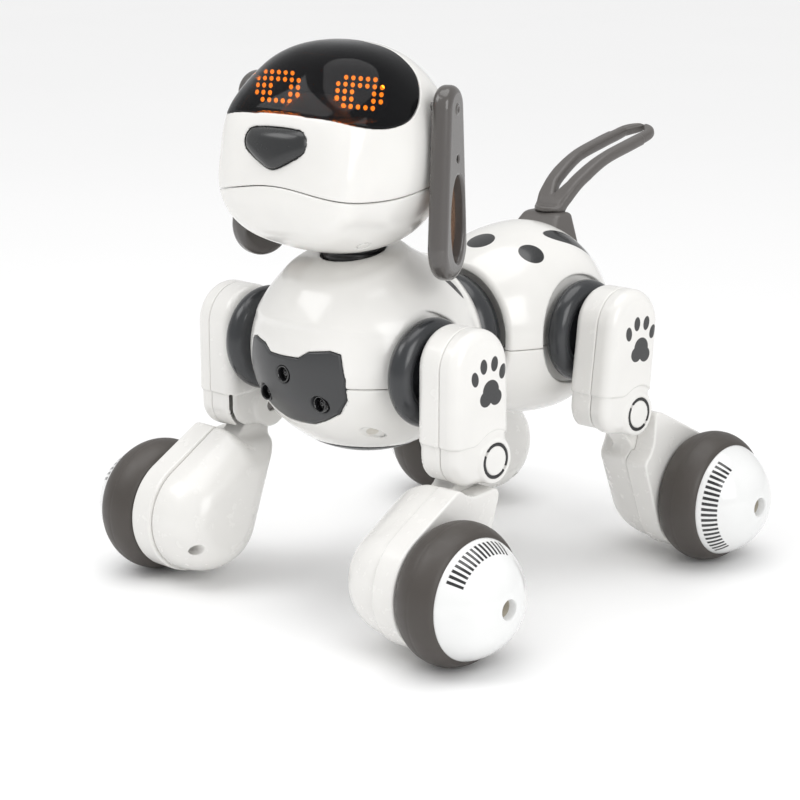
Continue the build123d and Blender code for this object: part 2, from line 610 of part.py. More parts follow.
with BuildPart() as hubcap:
    with BuildSketch(Plane.XZ):
        with BuildLine():
            Polyline((CAP_TIP, RECESS_R), (SCREW_SEAT, RECESS_R), (SCREW_SEAT, AXLE_R), (TYRE_IN + 1, AXLE_R),
                     (TYRE_IN + 1, 6.4), (CAP_TIP - 3, 6.4))
            Line((CAP_TIP - 3, 6.4), dome_point(CAP_TIP - 4, DOME_R - 2))
            ThreePointArc(dome_point(CAP_TIP - 4, DOME_R - 2), dome_point(TYRE_OUT + 8, DOME_R - 2),
                          (TYRE_OUT - 1, RIM_R - 2))
            Polyline((TYRE_OUT - 1, RIM_R - 2), (TYRE_IN + 0.5, RIM_R - 2), (TYRE_IN + 0.5, RIM_R),
                     (TYRE_OUT, RIM_R), (TYRE_OUT, EDGE_R - 0.2))
            ThreePointArc((TYRE_OUT, EDGE_R - 0.2), dome_point(TYRE_OUT + 10, DOME_R), (CAP_TIP, RECESS_R))
        make_face()
    revolve(axis=LEG_X)
    # spokes between the hub tube and the rim
    with BuildSketch(Plane.YZ.offset(TYRE_IN + 2)):
        with PolarLocations(14.3, 4):
            Rectangle(16.6, 2.0)
    extrude(amount=12)

with BuildPart() as wheel_axle:
    extrude(disc_sketch((SHANK_OUT - 8, 0, 0), (1, 0, 0), AXLE_R), amount=SCREW_SEAT - SHANK_OUT + 8)
    extrude(disc_sketch((SCREW_SEAT, 0, 0), (1, 0, 0), RECESS_R - 0.6), amount=2.4)

# ---------------------------------------------------------------- working parts inside the body
with BuildPart() as main_board:
    with Locations((0, CHEST_Y + 14, 117)):
        Box(52, 1.6, 40)
    # chips and connectors on the board
    with Locations((-14, CHEST_Y + 12.2, 122), (12, CHEST_Y + 12.2, 128), (6, CHEST_Y + 12.2, 108)):
        Box(10, 2, 7)

with BuildPart() as speaker:
    extrude(disc_sketch((0, CHEST_Y + 19, WAIST_Z), (0, 1, 0), 15), amount=3)
    extrude(disc_sketch((0, CHEST_Y + 22, WAIST_Z), (0, 1, 0), 9), amount=6)

with BuildPart() as battery_pack:
    with Locations((0, CHEST_Y - 4, 79.5)):
        Box(38, 22, 15, align=(Align.CENTER, Align.CENTER, Align.MIN))


def gear_motor_pair(axis_yz, outer_x):
    """Two gear motors, one for each leg shaft, their faces just inside the shaft ends."""
    with BuildPart() as pair:
        for side in (1, -1):
            with Locations((side * (outer_x - 9), *axis_yz)):
                Box(18, 20, 20)
            extrude(disc_sketch((side * outer_x, *axis_yz), (side, 0, 0), 4), amount=1.5)
    return pair.part


SHAFT_END = DISC_IN - 9
shoulder_motors = gear_motor_pair(SHOULDER, SHAFT_END + FRONT_OUT - 2)
hip_motors = gear_motor_pair(HIP, SHAFT_END - 2)

# ---------------------------------------------------------------- write the body and head pieces
for piece, name in (
    (chest_upper, "chest_upper"), (chest_lower, "chest_lower"), (chest_panel, "chest_panel"),
    (sensor_lenses, "sensor_lenses"), (battery_cover, "battery_cover"), (battery_pack, "battery_pack"),
    (main_board, "main_board"), (speaker, "speaker"), (waist_collar, "waist_collar"),
    (rump_upper, "rump_upper"), (rump_lower, "rump_lower"), (power_switch, "power_switch"),
    (tail_base, "tail_base"), (tail, "tail"),
):
    save(piece.part, name)

save(shoulder_motors, "shoulder_motors")
save(hip_motors, "hip_motors")

for piece, name in (
    (head_shell, "head_shell"), (jaw_shell, "jaw_shell"), (visor, "visor"), (eye_display, "eye_display"),
    (nose, "nose"), (neck_post, "neck_post"),
):
    save(HEAD * piece.part, name)

save(HEAD * EAR[1] * ear.part, "ear_left")
save(HEAD * EAR[-1] * mirror(ear.part, about=Plane.YZ), "ear_right")

# ---------------------------------------------------------------- place the four legs
# each end: leg axis, extra reach outwards, lean of the thigh, and whether the shank points ahead or back
LEGS = {
    "front": (SHOULDER, FRONT_OUT, 0.0, -1),
    "rear": (HIP, 0.0, HIND_LEAN, 1),
}
THIGH_PIECES = {"shoulder_disc": shoulder_disc, "thigh_outer": thigh_outer, "thigh_inner": thigh_inner,
                "knee_pin": knee_pin}
SHANK_PIECES = {"shank_outer": shank_outer, "shank_inner": shank_inner}
WHEEL_PIECES = {"tyre": tyre, "hubcap": hubcap, "wheel_axle": wheel_axle}

for end, (axis_yz, reach, lean, ahead) in LEGS.items():
    thigh_place = Location((reach, *axis_yz), (lean, 0, 0))
    knee = Vector(0, *KNEE).rotate(Axis.X, lean) + Vector(reach, *axis_yz)
    swing = ahead * math.degrees(math.acos((knee.Z - WHEEL_R) / SHANK))
    axle_y = knee.Y + SHANK * math.sin(math.radians(swing))
    shank_place = Location(knee, (swing, 0, 0))
    wheel_place = Location((reach, axle_y, WHEEL_R))
    print(end, "knee", round(knee.Y, 4), round(knee.Z, 4), "shank", round(swing, 3), "axle", round(axle_y, 4))
    for place, pieces in ((thigh_place, THIGH_PIECES), (shank_place, SHANK_PIECES), (wheel_place, WHEEL_PIECES)):
        for name, piece in pieces.items():
            left = place * piece.part
            save(left, f"{end}_left_{name}")
            save(mirror(left, about=Plane.YZ), f"{end}_right_{name}")
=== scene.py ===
"""Looks for a toy robot dog on four domed wheels: smooth moulded shells, printed marks, rubber and glass.

Shapes are drawn in millimetres as distance fields or turned profiles, and become meshes in metres.
Axes are the frame's own: +Z up, the dog faces -Y, its left side is +X.
"""
import json
import math

import bpy
import numpy as np
from mathutils import Matrix, Vector


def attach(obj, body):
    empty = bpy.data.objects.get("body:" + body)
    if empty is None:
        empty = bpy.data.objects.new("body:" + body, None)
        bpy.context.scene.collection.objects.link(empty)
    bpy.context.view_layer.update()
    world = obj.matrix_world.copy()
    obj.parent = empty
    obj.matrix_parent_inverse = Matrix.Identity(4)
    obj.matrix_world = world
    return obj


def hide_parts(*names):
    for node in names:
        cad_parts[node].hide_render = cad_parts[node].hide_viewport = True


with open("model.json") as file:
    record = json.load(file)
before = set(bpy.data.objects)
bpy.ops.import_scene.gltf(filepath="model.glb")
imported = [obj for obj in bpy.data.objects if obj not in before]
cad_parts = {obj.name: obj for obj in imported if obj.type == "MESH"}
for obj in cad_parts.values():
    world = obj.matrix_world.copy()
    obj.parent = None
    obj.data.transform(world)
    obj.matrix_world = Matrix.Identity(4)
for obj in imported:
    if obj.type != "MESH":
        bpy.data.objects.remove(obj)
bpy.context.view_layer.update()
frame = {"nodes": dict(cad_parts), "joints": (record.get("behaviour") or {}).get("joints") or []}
MM = 0.001

# ---------------------------------------------------------------- meshes from distance fields
BLOCK = 8                       # cells along a block's edge
FACE_RING = (
    ((0, -1, -1), (0, 0, -1), (0, 0, 0), (0, -1, 0)),
    ((-1, 0, -1), (-1, 0, 0), (0, 0, 0), (0, 0, -1)),
    ((-1, -1, 0), (0, -1, 0), (0, 0, 0), (-1, 0, 0)),
)


def mesh_from(name, points, quads, smooth=True):
    """A mesh from arrays of points in millimetres and of four-sided faces."""
    mesh = bpy.data.meshes.new(name)
    mesh.vertices.add(len(points))
    mesh.vertices.foreach_set("co", (np.asarray(points, float) * MM).astype(np.float32).ravel())
    mesh.loops.add(quads.size)
    mesh.loops.foreach_set("vertex_index", quads.astype(np.int32).ravel())
    mesh.polygons.add(len(quads))
    mesh.polygons.foreach_set("loop_start", np.arange(0, quads.size, 4, dtype=np.int32))
    mesh.polygons.foreach_set("use_smooth", np.full(len(quads), smooth))
    mesh.update(calc_edges=True)
    mesh.validate()
    return mesh


def field_mesh(name, field, low, high, cell):
    """Mesh of the surface where field is zero, by surface nets on a grid kept to blocks near it."""
    low = np.array(low, float) - 2 * cell
    high = np.array(high, float) + 2 * cell
    blocks = np.ceil((high - low) / (cell * BLOCK)).astype(int)
    starts = np.indices(blocks).reshape(3, -1).T * BLOCK
    middle = low + (starts + BLOCK / 2) * cell
    starts = starts[abs(field(middle)) < cell * BLOCK * 1.25]
    corner = np.indices((BLOCK + 1,) * 3).reshape(3, -1).T
    grid = (starts[:, None, :] + corner[None]).reshape(-1, 3)
    values = field(low + grid * cell).reshape((len(starts),) + (BLOCK + 1,) * 3)
    inside = values < 0
    size = blocks * BLOCK + 2
    offsets = np.indices((2, 2, 2)).reshape(3, -1).T

    def cut(block, o):
        return block[:, o[0]:BLOCK + o[0], o[1]:BLOCK + o[1], o[2]:BLOCK + o[2]]

    def key(cells):
        return (cells[:, 0] * size[1] + cells[:, 1]) * size[2] + cells[:, 2]

    crowd = sum(cut(inside, o).astype(np.int8) for o in offsets)
    b, i, j, k = np.nonzero((crowd > 0) & (crowd < 8))
    cells = starts[b] + np.stack([i, j, k], 1)
    at = [values[b, i + o[0], j + o[1], k + o[2]] for o in offsets]
    total = np.zeros((len(b), 3))
    hits = np.zeros(len(b))
    for p in range(8):
        for q in range(p + 1, 8):
            if abs(offsets[p] - offsets[q]).sum() != 1:
                continue
            crossing = (at[p] < 0) != (at[q] < 0)
            share = np.where(crossing, at[p] / np.where(crossing, at[p] - at[q], 1), 0)
            total += crossing[:, None] * (offsets[p] + share[:, None] * (offsets[q] - offsets[p]))
            hits += crossing
    points = low + (cells + total / hits[:, None]) * cell

    order = np.argsort(key(cells))
    sorted_keys = key(cells)[order]
    quads = []
    for axis, ring in enumerate(FACE_RING):
        step = np.eye(3, dtype=int)[axis]
        first = cut(inside, (0, 0, 0))
        second = cut(inside, step)
        b, i, j, k = np.nonzero(first != second)
        edge = starts[b] + np.stack([i, j, k], 1)
        outward = first[b, i, j, k]
        found = []
        whole = np.ones(len(edge), bool)
        for o in ring:
            wanted = key(edge + np.array(o))
            place = np.clip(np.searchsorted(sorted_keys, wanted), 0, len(sorted_keys) - 1)
            whole &= sorted_keys[place] == wanted
            found.append(order[place])
        quad = np.stack(found, 1)
        quad[~outward] = quad[~outward][:, ::-1]
        quads.append(quad[whole])
    quads = np.concatenate(quads)

    # settle the points on the surface
    reach = cell * 0.2
    for _ in range(3):
        value = field(points)
        ahead = [field(points + reach * e) - field(points - reach * e) for e in np.eye(3)]
        slope = np.stack(ahead, 1) / (2 * reach)
        length = np.maximum((slope ** 2).sum(1), 1e-3)
        points = points - slope * np.clip(value / length, -cell * 0.7, cell * 0.7)[:, None]
    used = np.unique(quads)
    renumber = np.zeros(len(points), int)
    renumber[used] = np.arange(len(used))
    return mesh_from(name, points[used], renumber[quads])


# ---------------------------------------------------------------- distance fields
sharp = np.maximum                       # what two shapes share, its edges left sharp


def length_of(*parts):
    return np.sqrt(sum(a * a for a in parts))


def ball(p, centre, radius):
    x, y, z = p.T
    return length_of(x - centre[0], y - centre[1], z - centre[2]) - radius


def ellipsoid(p, centre, radii):
    q = (p - np.array(centre)) / np.array(radii)
    near = np.sqrt((q ** 2).sum(1))
    slope = np.sqrt(((q / np.array(radii)) ** 2).sum(1))
    return near * (near - 1) / sharp(slope, 1e-6)


def join(a, b, soft):
    """Union of two shapes, blended over soft."""
    h = sharp(soft - abs(a - b), 0) / soft
    return np.minimum(a, b) - h * h * soft / 4


def both(a, b, soft):
    """What two shapes share, its edges rounded over soft."""
    return -join(-a, -b, soft)


def less(a, b, soft):
    """Shape a with b cut out of it."""
    return both(a, -b, soft)


def pipe(p, axis, centre, radius):
    """An endless round bar along an axis, its centre given by the other two coordinates."""
    u, v = [k for k in range(3) if k != axis]
    return length_of(p[:, u] - centre[0], p[:, v] - centre[1]) - radius


def rod(p, start, end, radius):
    """A bar with round ends."""
    start, end = np.array(start, float), np.array(end, float)
    along = end - start
    share = np.clip(((p - start) @ along) / (along @ along), 0, 1)
    return np.sqrt(((p - start - share[:, None] * along) ** 2).sum(1)) - radius


def round_cone(u, v, a, ra, b, rb):
    """Flat outline round two circles of centres a, b and radii ra, rb."""
    du, dv = b[0] - a[0], b[1] - a[1]
    span = math.hypot(du, dv)
    eu, ev = du / span, dv / span
    along = (u - a[0]) * eu + (v - a[1]) * ev
    across = abs((v - a[1]) * eu - (u - a[0]) * ev)
    lean = (ra - rb) / span
    rise = math.sqrt(1 - lean * lean)
    where = along * rise - across * lean
    side = across * rise + along * lean - ra
    return np.where(where < 0, length_of(along, across) - ra,
                    np.where(where > span * rise, length_of(along - span, across) - rb, side))


def polygon(u, v, corners):
    """Signed distance to a flat polygon."""
    corners = np.array(corners, float)
    best = np.full(len(u), 1e18)
    sign = np.ones(len(u))
    for a, b in zip(corners, np.roll(corners, -1, 0)):
        eu, ev = b - a
        wu, wv = u - a[0], v - a[1]
        share = np.clip((wu * eu + wv * ev) / (eu * eu + ev * ev), 0, 1)
        best = np.minimum(best, (wu - eu * share) ** 2 + (wv - ev * share) ** 2)
        above, below = v >= a[1], v < b[1]
        left = eu * wv > ev * wu
        sign = np.where((above & below & left) | (~above & ~below & ~left), -sign, sign)
    return sign * np.sqrt(best)


def hull(u, v, circles):
    """Flat outline of a band stretched round circles (u, v, radius)."""
    around = [round_cone(u, v, a[:2], a[2], b[:2], b[2])
              for n, a in enumerate(circles) for b in circles[n + 1:]]
    if len(circles) > 2:
        around.append(polygon(u, v, [c[:2] for c in circles]))
    return np.minimum.reduce(around)


def slab(plan, height, half, edge):
    """A flat outline given thickness, with rounded edges; height is measured from its middle."""
    a, b = plan + edge, abs(height) - half + edge
    return np.minimum(sharp(a, b), 0) + length_of(sharp(a, 0), sharp(b, 0)) - edge


# ---------------------------------------------------------------- turned shapes
def lathe_mesh(name, profile, turns=160, axis=0):
    """A profile of (along, radius) in millimetres turned about an axis; it closes on itself."""
    profile = np.array(profile, float)
    angle = np.arange(turns) * 2 * math.pi / turns
    ring = np.zeros((turns, len(profile), 3))
    u, v = [(1, 2), (2, 0), (0, 1)][axis]
    ring[:, :, axis] = profile[None, :, 0]
    ring[:, :, u] = profile[None, :, 1] * np.cos(angle)[:, None]
    ring[:, :, v] = profile[None, :, 1] * np.sin(angle)[:, None]
    n = len(profile)
    t, s = np.meshgrid(np.arange(turns), np.arange(n), indexing="ij")
    t2, s2 = (t + 1) % turns, (s + 1) % n
    quads = np.stack([t * n + s, t2 * n + s, t2 * n + s2, t * n + s2], -1).reshape(-1, 4)
    return mesh_from(name, ring.reshape(-1, 3), quads)


def arc(centre, radius, start, end, steps):
    """Points of a circular arc, degrees from the along axis towards the radius axis."""
    angles = np.radians(np.linspace(start, end, steps))
    return [(centre[0] + radius * math.cos(a), centre[1] + radius * math.sin(a)) for a in angles]


def rounded(corners, radius, steps=5):
    """A closed profile with each corner cut by an arc of about that radius."""
    corners = [np.array(c, float) for c in corners]
    made = []
    for n, here in enumerate(corners):
        back, ahead = corners[n - 1] - here, corners[(n + 1) % len(corners)] - here
        reach = min(radius, 0.45 * np.linalg.norm(back), 0.45 * np.linalg.norm(ahead))
        a = here + back / max(np.linalg.norm(back), 1e-9) * reach
        b = here + ahead / max(np.linalg.norm(ahead), 1e-9) * reach
        for s in np.linspace(0, 1, steps):
            made.append(tuple((1 - s) ** 2 * a + 2 * s * (1 - s) * here + s * s * b))
    return made


def smooth_line(knots, steps):
    """Catmull-Rom curve through knots, evenly sampled in parameter."""
    k = np.array(knots, float)
    k = np.vstack([2 * k[0] - k[1], k, 2 * k[-1] - k[-2]])
    t = np.linspace(0, len(knots) - 1 - 1e-6, steps)
    n = t.astype(int)
    f = (t - n)[:, None]
    a, b, c, d = k[n], k[n + 1], k[n + 2], k[n + 3]
    bend, twist = 2 * a - 5 * b + 4 * c - d, 3 * b - a - 3 * c + d
    return 0.5 * (2 * b + (c - a) * f + bend * f ** 2 + twist * f ** 3)


def merged(name, meshes):
    """Several quad meshes as one."""
    points, quads, base = [], [], 0
    for m in meshes:
        co = np.zeros(len(m.vertices) * 3)
        m.vertices.foreach_get("co", co)
        ids = np.zeros(len(m.loops), int)
        m.loops.foreach_get("vertex_index", ids)
        points.append(co.reshape(-1, 3) / MM)
        quads.append(ids.reshape(-1, 4) + base)
        base += len(m.vertices)
        bpy.data.meshes.remove(m)
    return mesh_from(name, np.concatenate(points), np.concatenate(quads))


def mirrored(mesh, name):
    """The same mesh for the dog's other side."""
    other = mesh.copy()
    other.name = name
    other.transform(Matrix.Diagonal((-1, 1, 1, 1)))
    other.flip_normals()
    return other


def piece(name, mesh, material, body, slot, place=Matrix(), replaces="", own_axes=False):
    """Puts a mesh in the scene on a body; own_axes keeps its local axes, for printed marks."""
    thing = bpy.data.objects.new(name, mesh)
    bpy.context.scene.collection.objects.link(thing)
    if own_axes:
        thing.matrix_world = place
    else:
        mesh.transform(place)
    mesh.materials.clear()
    mesh.materials.append(material)
    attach(thing, body)
    if replaces:
        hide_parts(replaces)
    return thing


def skin(name, field, low, high, cell, *settings, **more):
    """A piece meshed from a distance field."""
    return piece(name, field_mesh(name, field, low, high, cell), *settings, **more)


# ---------------------------------------------------------------- materials
def at(x, y, z):
    """A shift in millimetres."""
    return Matrix.Translation((x * MM, y * MM, z * MM))


def spun(degrees, axis):
    return Matrix.Rotation(math.radians(degrees), 4, axis)


class Graph:
    """Small helper that wires a node material."""

    def __init__(self, name):
        self.material = bpy.data.materials.new(name)
        self.material.use_nodes = True
        self.tree = self.material.node_tree
        self.tree.nodes.clear()
        self.out = self.node("ShaderNodeOutputMaterial")
        self.shader = self.node("ShaderNodeBsdfPrincipled")
        self.link(self.shader.outputs[0], self.out.inputs[0])
        self.base, self.rough = self.shader.inputs["Base Color"], self.shader.inputs["Roughness"]
        self.coords = self.node("ShaderNodeTexCoord").outputs["Object"]

    def node(self, kind, **settings):
        made = self.tree.nodes.new(kind)
        for key, value in settings.items():
            setattr(made, key, value)
        return made

    def link(self, a, b):
        self.tree.links.new(a, b)

    def put(self, socket, value):
        if hasattr(value, "links") or isinstance(value, bpy.types.NodeSocket):
            self.link(value, socket)
        else:
            socket.default_value = value

    def math(self, operation, a, b=0.0, c=None, clamp=False):
        made = self.node("ShaderNodeMath", operation=operation, use_clamp=clamp)
        self.put(made.inputs[0], a)
        self.put(made.inputs[1], b)
        if c is not None:
            self.put(made.inputs[2], c)
        return made.outputs[0]

    def plus(self, a, b):
        return self.math("ADD", a, b)

    def minus(self, a, b):
        return self.math("SUBTRACT", a, b)

    def times(self, a, b):
        return self.math("MULTIPLY", a, b)

    def hypot(self, a, b):
        return self.math("SQRT", self.plus(self.times(a, a), self.times(b, b)))

    def set(self, **values):
        """Plain values on the shader's sockets, underscores standing for spaces."""
        for key, value in values.items():
            self.shader.inputs[key.replace("_", " ")].default_value = value

    def split(self):
        made = self.node("ShaderNodeSeparateXYZ")
        self.link(self.coords, made.inputs[0])
        return made.outputs

    def noise(self, scale, detail=3.0, rough=0.5):
        made = self.node("ShaderNodeTexNoise")
        made.inputs["Scale"].default_value = scale
        made.inputs["Detail"].default_value = detail
        made.inputs["Roughness"].default_value = rough
        self.link(self.coords, made.inputs["Vector"])
        return made.outputs["Fac"]

    def span(self, value, low, high, to_low, to_high):
        made = self.node("ShaderNodeMapRange")
        self.put(made.inputs[0], value)
        for n, v in enumerate((low, high, to_low, to_high)):
            made.inputs[n + 1].default_value = v
        return made.outputs[0]

    def mix(self, factor, a, b):
        made = self.node("ShaderNodeMix", data_type="RGBA")
        self.put(made.inputs["Factor"], factor)
        self.put(made.inputs[6], a)
        self.put(made.inputs[7], b)
        return made.outputs[2]

    def bump(self, height, strength, distance):
        made = self.node("ShaderNodeBump")
        made.inputs["Strength"].default_value = strength
        made.inputs["Distance"].default_value = distance
        self.link(height, made.inputs["Height"])
        self.link(made.outputs[0], self.shader.inputs["Normal"])


def tone(color, factor):
    return tuple(min(1, c * factor) for c in color[:3]) + (1,)


def plastic(name, color, rough=0.25, spread=0.06, coat=0.0, grain=0.0, grain_scale=900, vary=0.03, ripple=0.0,
            marks=None, well=None, subsurface=0.0):
    """Moulded plastic: slow tone and gloss variation, a fine surface grain and printed marks."""
    g = Graph(name)
    slow = g.noise(28, 3)
    base = g.mix(g.span(slow, 0.3, 0.7, 0, 1), tone(color, 1 - vary), tone(color, 1 + vary))
    if marks is not None:
        base = g.mix(marks(g), base, MARK)
    if well is not None:
        base = g.mix(well(g), base, WELL_BEIGE)
    g.link(base, g.base)
    scuff = g.noise(160, 5, 0.6)
    g.link(g.span(scuff, 0.35, 0.7, rough - spread / 2, rough + spread / 2), g.rough)
    g.set(Coat_Weight=coat, Coat_Roughness=0.08, IOR=1.5)
    if subsurface:
        g.set(Subsurface_Weight=subsurface, Subsurface_Radius=(1.0, 0.9, 0.8), Subsurface_Scale=0.0015)
    height = g.noise(grain_scale, 2)
    if ripple:
        height = g.plus(height, g.times(g.noise(45, 2), ripple))
    g.bump(height, max(grain, 0.02), 0.0002)
    return g.material


def spot(g, xyz, centre, half, tilt=0.0, soft=0.00012, plane=(1, 2)):
    """Elliptical printed mark in a plane; centre and half sizes in millimetres, tilt in degrees."""
    a = math.radians(tilt)
    centre, half = [[c * MM for c in pair] for pair in (centre, half)]
    u = g.minus(xyz[plane[0]], centre[0])
    v = g.minus(xyz[plane[1]], centre[1])
    along = g.plus(g.times(u, math.cos(a)), g.times(v, math.sin(a)))
    across = g.minus(g.times(v, math.cos(a)), g.times(u, math.sin(a)))
    along = g.math("DIVIDE", along, half[0])
    across = g.math("DIVIDE", across, half[1])
    far = g.hypot(along, across)
    edge = soft / min(half)
    return g.span(far, 1 - edge, 1 + edge, 1, 0)


def most(g, masks):
    total = masks[0]
    for m in masks[1:]:
        total = g.math("MAXIMUM", total, m)
    return total


WHITE = (0.80, 0.79, 0.765)
CHARCOAL = (0.028, 0.030, 0.033)
TYRE = (0.060, 0.052, 0.046)
EAR_GREY = (0.085, 0.078, 0.074)
MARK = (0.016, 0.017, 0.018, 1)          # printed marks
WELL_BEIGE = (0.50, 0.46, 0.38, 1)       # the bare plastic round a hub screw

PAW_Y, PAW_Z = 4.4, -4.2                 # middle of the paw print's pad, from the leg axis
PAD = ((0.3, 0.6, 5.1, 4.7), (-2.8, -2.6, 3.8, 3.5), (3.4, -2.6, 3.8, 3.5), (0.3, -1.6, 4.6, 3.2))
TOES = ((-9.8, 7.0, 14), (-4.4, 11.6, 5), (2.4, 11.9, -5), (7.7, 7.9, -14))


def paw(g):
    """A generic paw print on the outer face of a thigh."""
    xyz = g.split()
    marks = []
    for dy, dz, tilt in TOES:
        marks.append(spot(g, xyz, (PAW_Y + dy, PAW_Z + dz), (2.2, 3.3), tilt))
    for dy, dz, ry, rz in PAD:
        marks.append(spot(g, xyz, (PAW_Y + dy, PAW_Z + dz), (ry, rz)))
    outside = g.math("GREATER_THAN", g.math("ABSOLUTE", xyz[0]), 0.069)
    return g.times(most(g, marks), outside)


def rump_spots(g):
    """Coat spots on the upper side of the rump."""
    xyz = g.split()
    marks = [
        spot(g, xyz, (0.6, 8.0), (6.6, 6.4), 20, plane=(0, 1)),
        spot(g, xyz, (23.8, 16.9), (6.1, 4.8), 56, plane=(0, 1)),
        spot(g, xyz, (22.4, 44.4), (4.8, 12.5), -22, plane=(0, 1)),
        spot(g, xyz, (-26.0, 38.0), (4.6, 9.0), 20, plane=(0, 1)),
    ]
    above = g.math("GREATER_THAN", xyz[2], 0.125)
    return g.times(most(g, marks), above)


def chest_spots(g):
    """Two long spots on the chest's upper back."""
    xyz = g.split()
    marks = [
        spot(g, xyz, (36.0, -51.5), (5.4, 2.1), 48, plane=(0, 1)),
        spot(g, xyz, (-36.0, -51.5), (5.4, 2.1), -48, plane=(0, 1)),
    ]
    above = g.math("GREATER_THAN", xyz[2], 0.125)
    return g.times(most(g, marks), above)


def ticks(g, start, end, count):
    """An arc of short printed strokes near the edge of a wheel cap."""
    xyz = g.split()
    radius = g.hypot(xyz[1], xyz[2])
    angle = g.math("ARCTAN2", xyz[2], xyz[1])
    turned = g.minus(angle, math.radians(start))
    turned = g.math("FLOORED_MODULO", turned, 2 * math.pi)
    pitch = math.radians(end - start) / count
    within = g.math("LESS_THAN", turned, math.radians(end - start))
    phase = g.math("FRACT", g.math("DIVIDE", turned, pitch))
    stroke = g.span(g.math("ABSOLUTE", g.minus(phase, 0.5)), 0.25, 0.29, 1, 0)
    band = g.span(g.math("ABSOLUTE", g.minus(radius, 0.0232)), 0.0019, 0.0021, 1, 0)
    return g.times(g.times(stroke, band), within)


def hub_well(g):
    """The screw recess at the middle of a wheel cap."""
    xyz = g.split()
    radius = g.hypot(xyz[1], xyz[2])
    return g.math("LESS_THAN", radius, 0.0042)


shell_white = plastic("shell_white", WHITE, 0.2, 0.06, coat=0.35, grain=0.03, ripple=0.5, subsurface=0.05)
thigh_white = plastic("thigh_white", WHITE, 0.24, 0.06, coat=0.3, grain=0.03, marks=paw)
leg_white = plastic("leg_white", WHITE, 0.26, 0.06, coat=0.25, grain=0.03)
rump_white = plastic("rump_white", WHITE, 0.2, 0.06, coat=0.35, grain=0.03, marks=rump_spots)
chest_white = plastic("chest_white", WHITE, 0.2, 0.06, coat=0.35, grain=0.03, marks=chest_spots)
charcoal = plastic("charcoal_gloss", CHARCOAL, 0.24, 0.06, coat=0.15, grain=0.04)
panel_grey = plastic("panel_grey", (0.040, 0.041, 0.043), 0.33, 0.08, grain=0.08, grain_scale=1600)
nose_dark = plastic("nose_dark", (0.022, 0.023, 0.024), 0.26, 0.05, coat=0.1, grain=0.03)
rubber = plastic("tyre_rubber", TYRE, 0.48, 0.12, grain=0.15, grain_scale=1800, vary=0.07)
ear_plastic = plastic("ear_plastic", EAR_GREY, 0.2, 0.06, coat=0.3, grain=0.04)
tail_plastic = plastic("tail_plastic", (0.105, 0.097, 0.092), 0.36, 0.1, grain=0.1, grain_scale=1500)
black_matte = plastic("black_matte", (0.010, 0.010, 0.011), 0.35, 0.1, grain=0.08)
black_gloss = plastic("black_gloss", (0.008, 0.008, 0.009), 0.12, 0.05, coat=0.5)
plug_beige = plastic("plug_beige", (0.60, 0.575, 0.52), 0.45, 0.1, grain=0.1)


def metal(name, color, rough):
    g = Graph(name)
    brushed = g.noise(700, 4, 0.6)
    g.link(g.mix(brushed, tone(color, 0.85), tone(color, 1.1)), g.base)
    g.set(Metallic=1.0)
    g.link(g.span(brushed, 0.3, 0.7, rough - 0.06, rough + 0.08), g.rough)
    g.bump(brushed, 0.1, 0.0001)
    return g.material


steel = metal("screw_steel", (0.20, 0.19, 0.185), 0.35)


def tinted(name, color, rough, weight, bend):
    """Clear tinted plastic."""
    g = Graph(name)
    slow = g.noise(60, 2)
    g.link(g.mix(g.span(slow, 0.3, 0.7, 0, 1), tone(color, 0.9), tone(color, 1.1)), g.base)
    g.link(g.span(g.noise(200, 3), 0.3, 0.7, rough, rough + 0.03), g.rough)
    g.set(Transmission_Weight=weight, IOR=bend, Specular_IOR_Level=0.22)
    return g.material


visor_glass = tinted("visor_glass", (0.055, 0.057, 0.062), 0.02, 0.9, 1.22)
ear_window = tinted("ear_window", (0.33, 0.20, 0.13), 0.16, 0.55, 1.49)


def glowing(name, color, strength):
    g = Graph(name)
    g.link(g.mix(g.noise(900, 1), tone(color, 0.9), color + (1,)), g.base)
    g.set(Emission_Color=color + (1,), Emission_Strength=strength, Roughness=0.4)
    return g.material


led_amber = glowing("led_amber", (1.0, 0.20, 0.006), 30.0)

# ---------------------------------------------------------------- head
def joint_place(name):
    found = next(j for j in frame["joints"] if j["name"] == name)
    return Vector(found["pos_m"])


NECK = joint_place("neck_turn")
HEAD_TURN = 7.5                       # degrees to the dog's left, as the head is stored
HEAD_PLACE = Matrix.Translation((NECK.x, NECK.y, 0)) @ spun(HEAD_TURN, "Z")
MOUTH = (191.9, -0.99, 0.58, 1.34, 1.32, 0.23)     # height of the mouth seam round the head, cosine series
# the visor's edge: degrees round its middle from the top, and degrees out from it
VISOR = ((0, 49.0), (12, 49.1), (21, 50.4), (27, 54), (34, 57.6), (43, 61), (54, 65.4), (66, 67.5), (77, 68.2),
         (88, 66.5), (99, 60.8), (108, 54), (115.5, 47.5), (124, 39.8), (132, 34.6), (142, 30.4), (158, 25.8),
         (180, 24))
VISOR_EDGE = np.radians(smooth_line(VISOR, 200))
VISOR_TILT = math.radians(48)
SKULL = (0.0, -8.0, 206.0)
SKULL_RADII = np.array((46.8, 40.0, 45.5))
SKULL_POWER = 2.3                                  # a little fuller than an ellipsoid


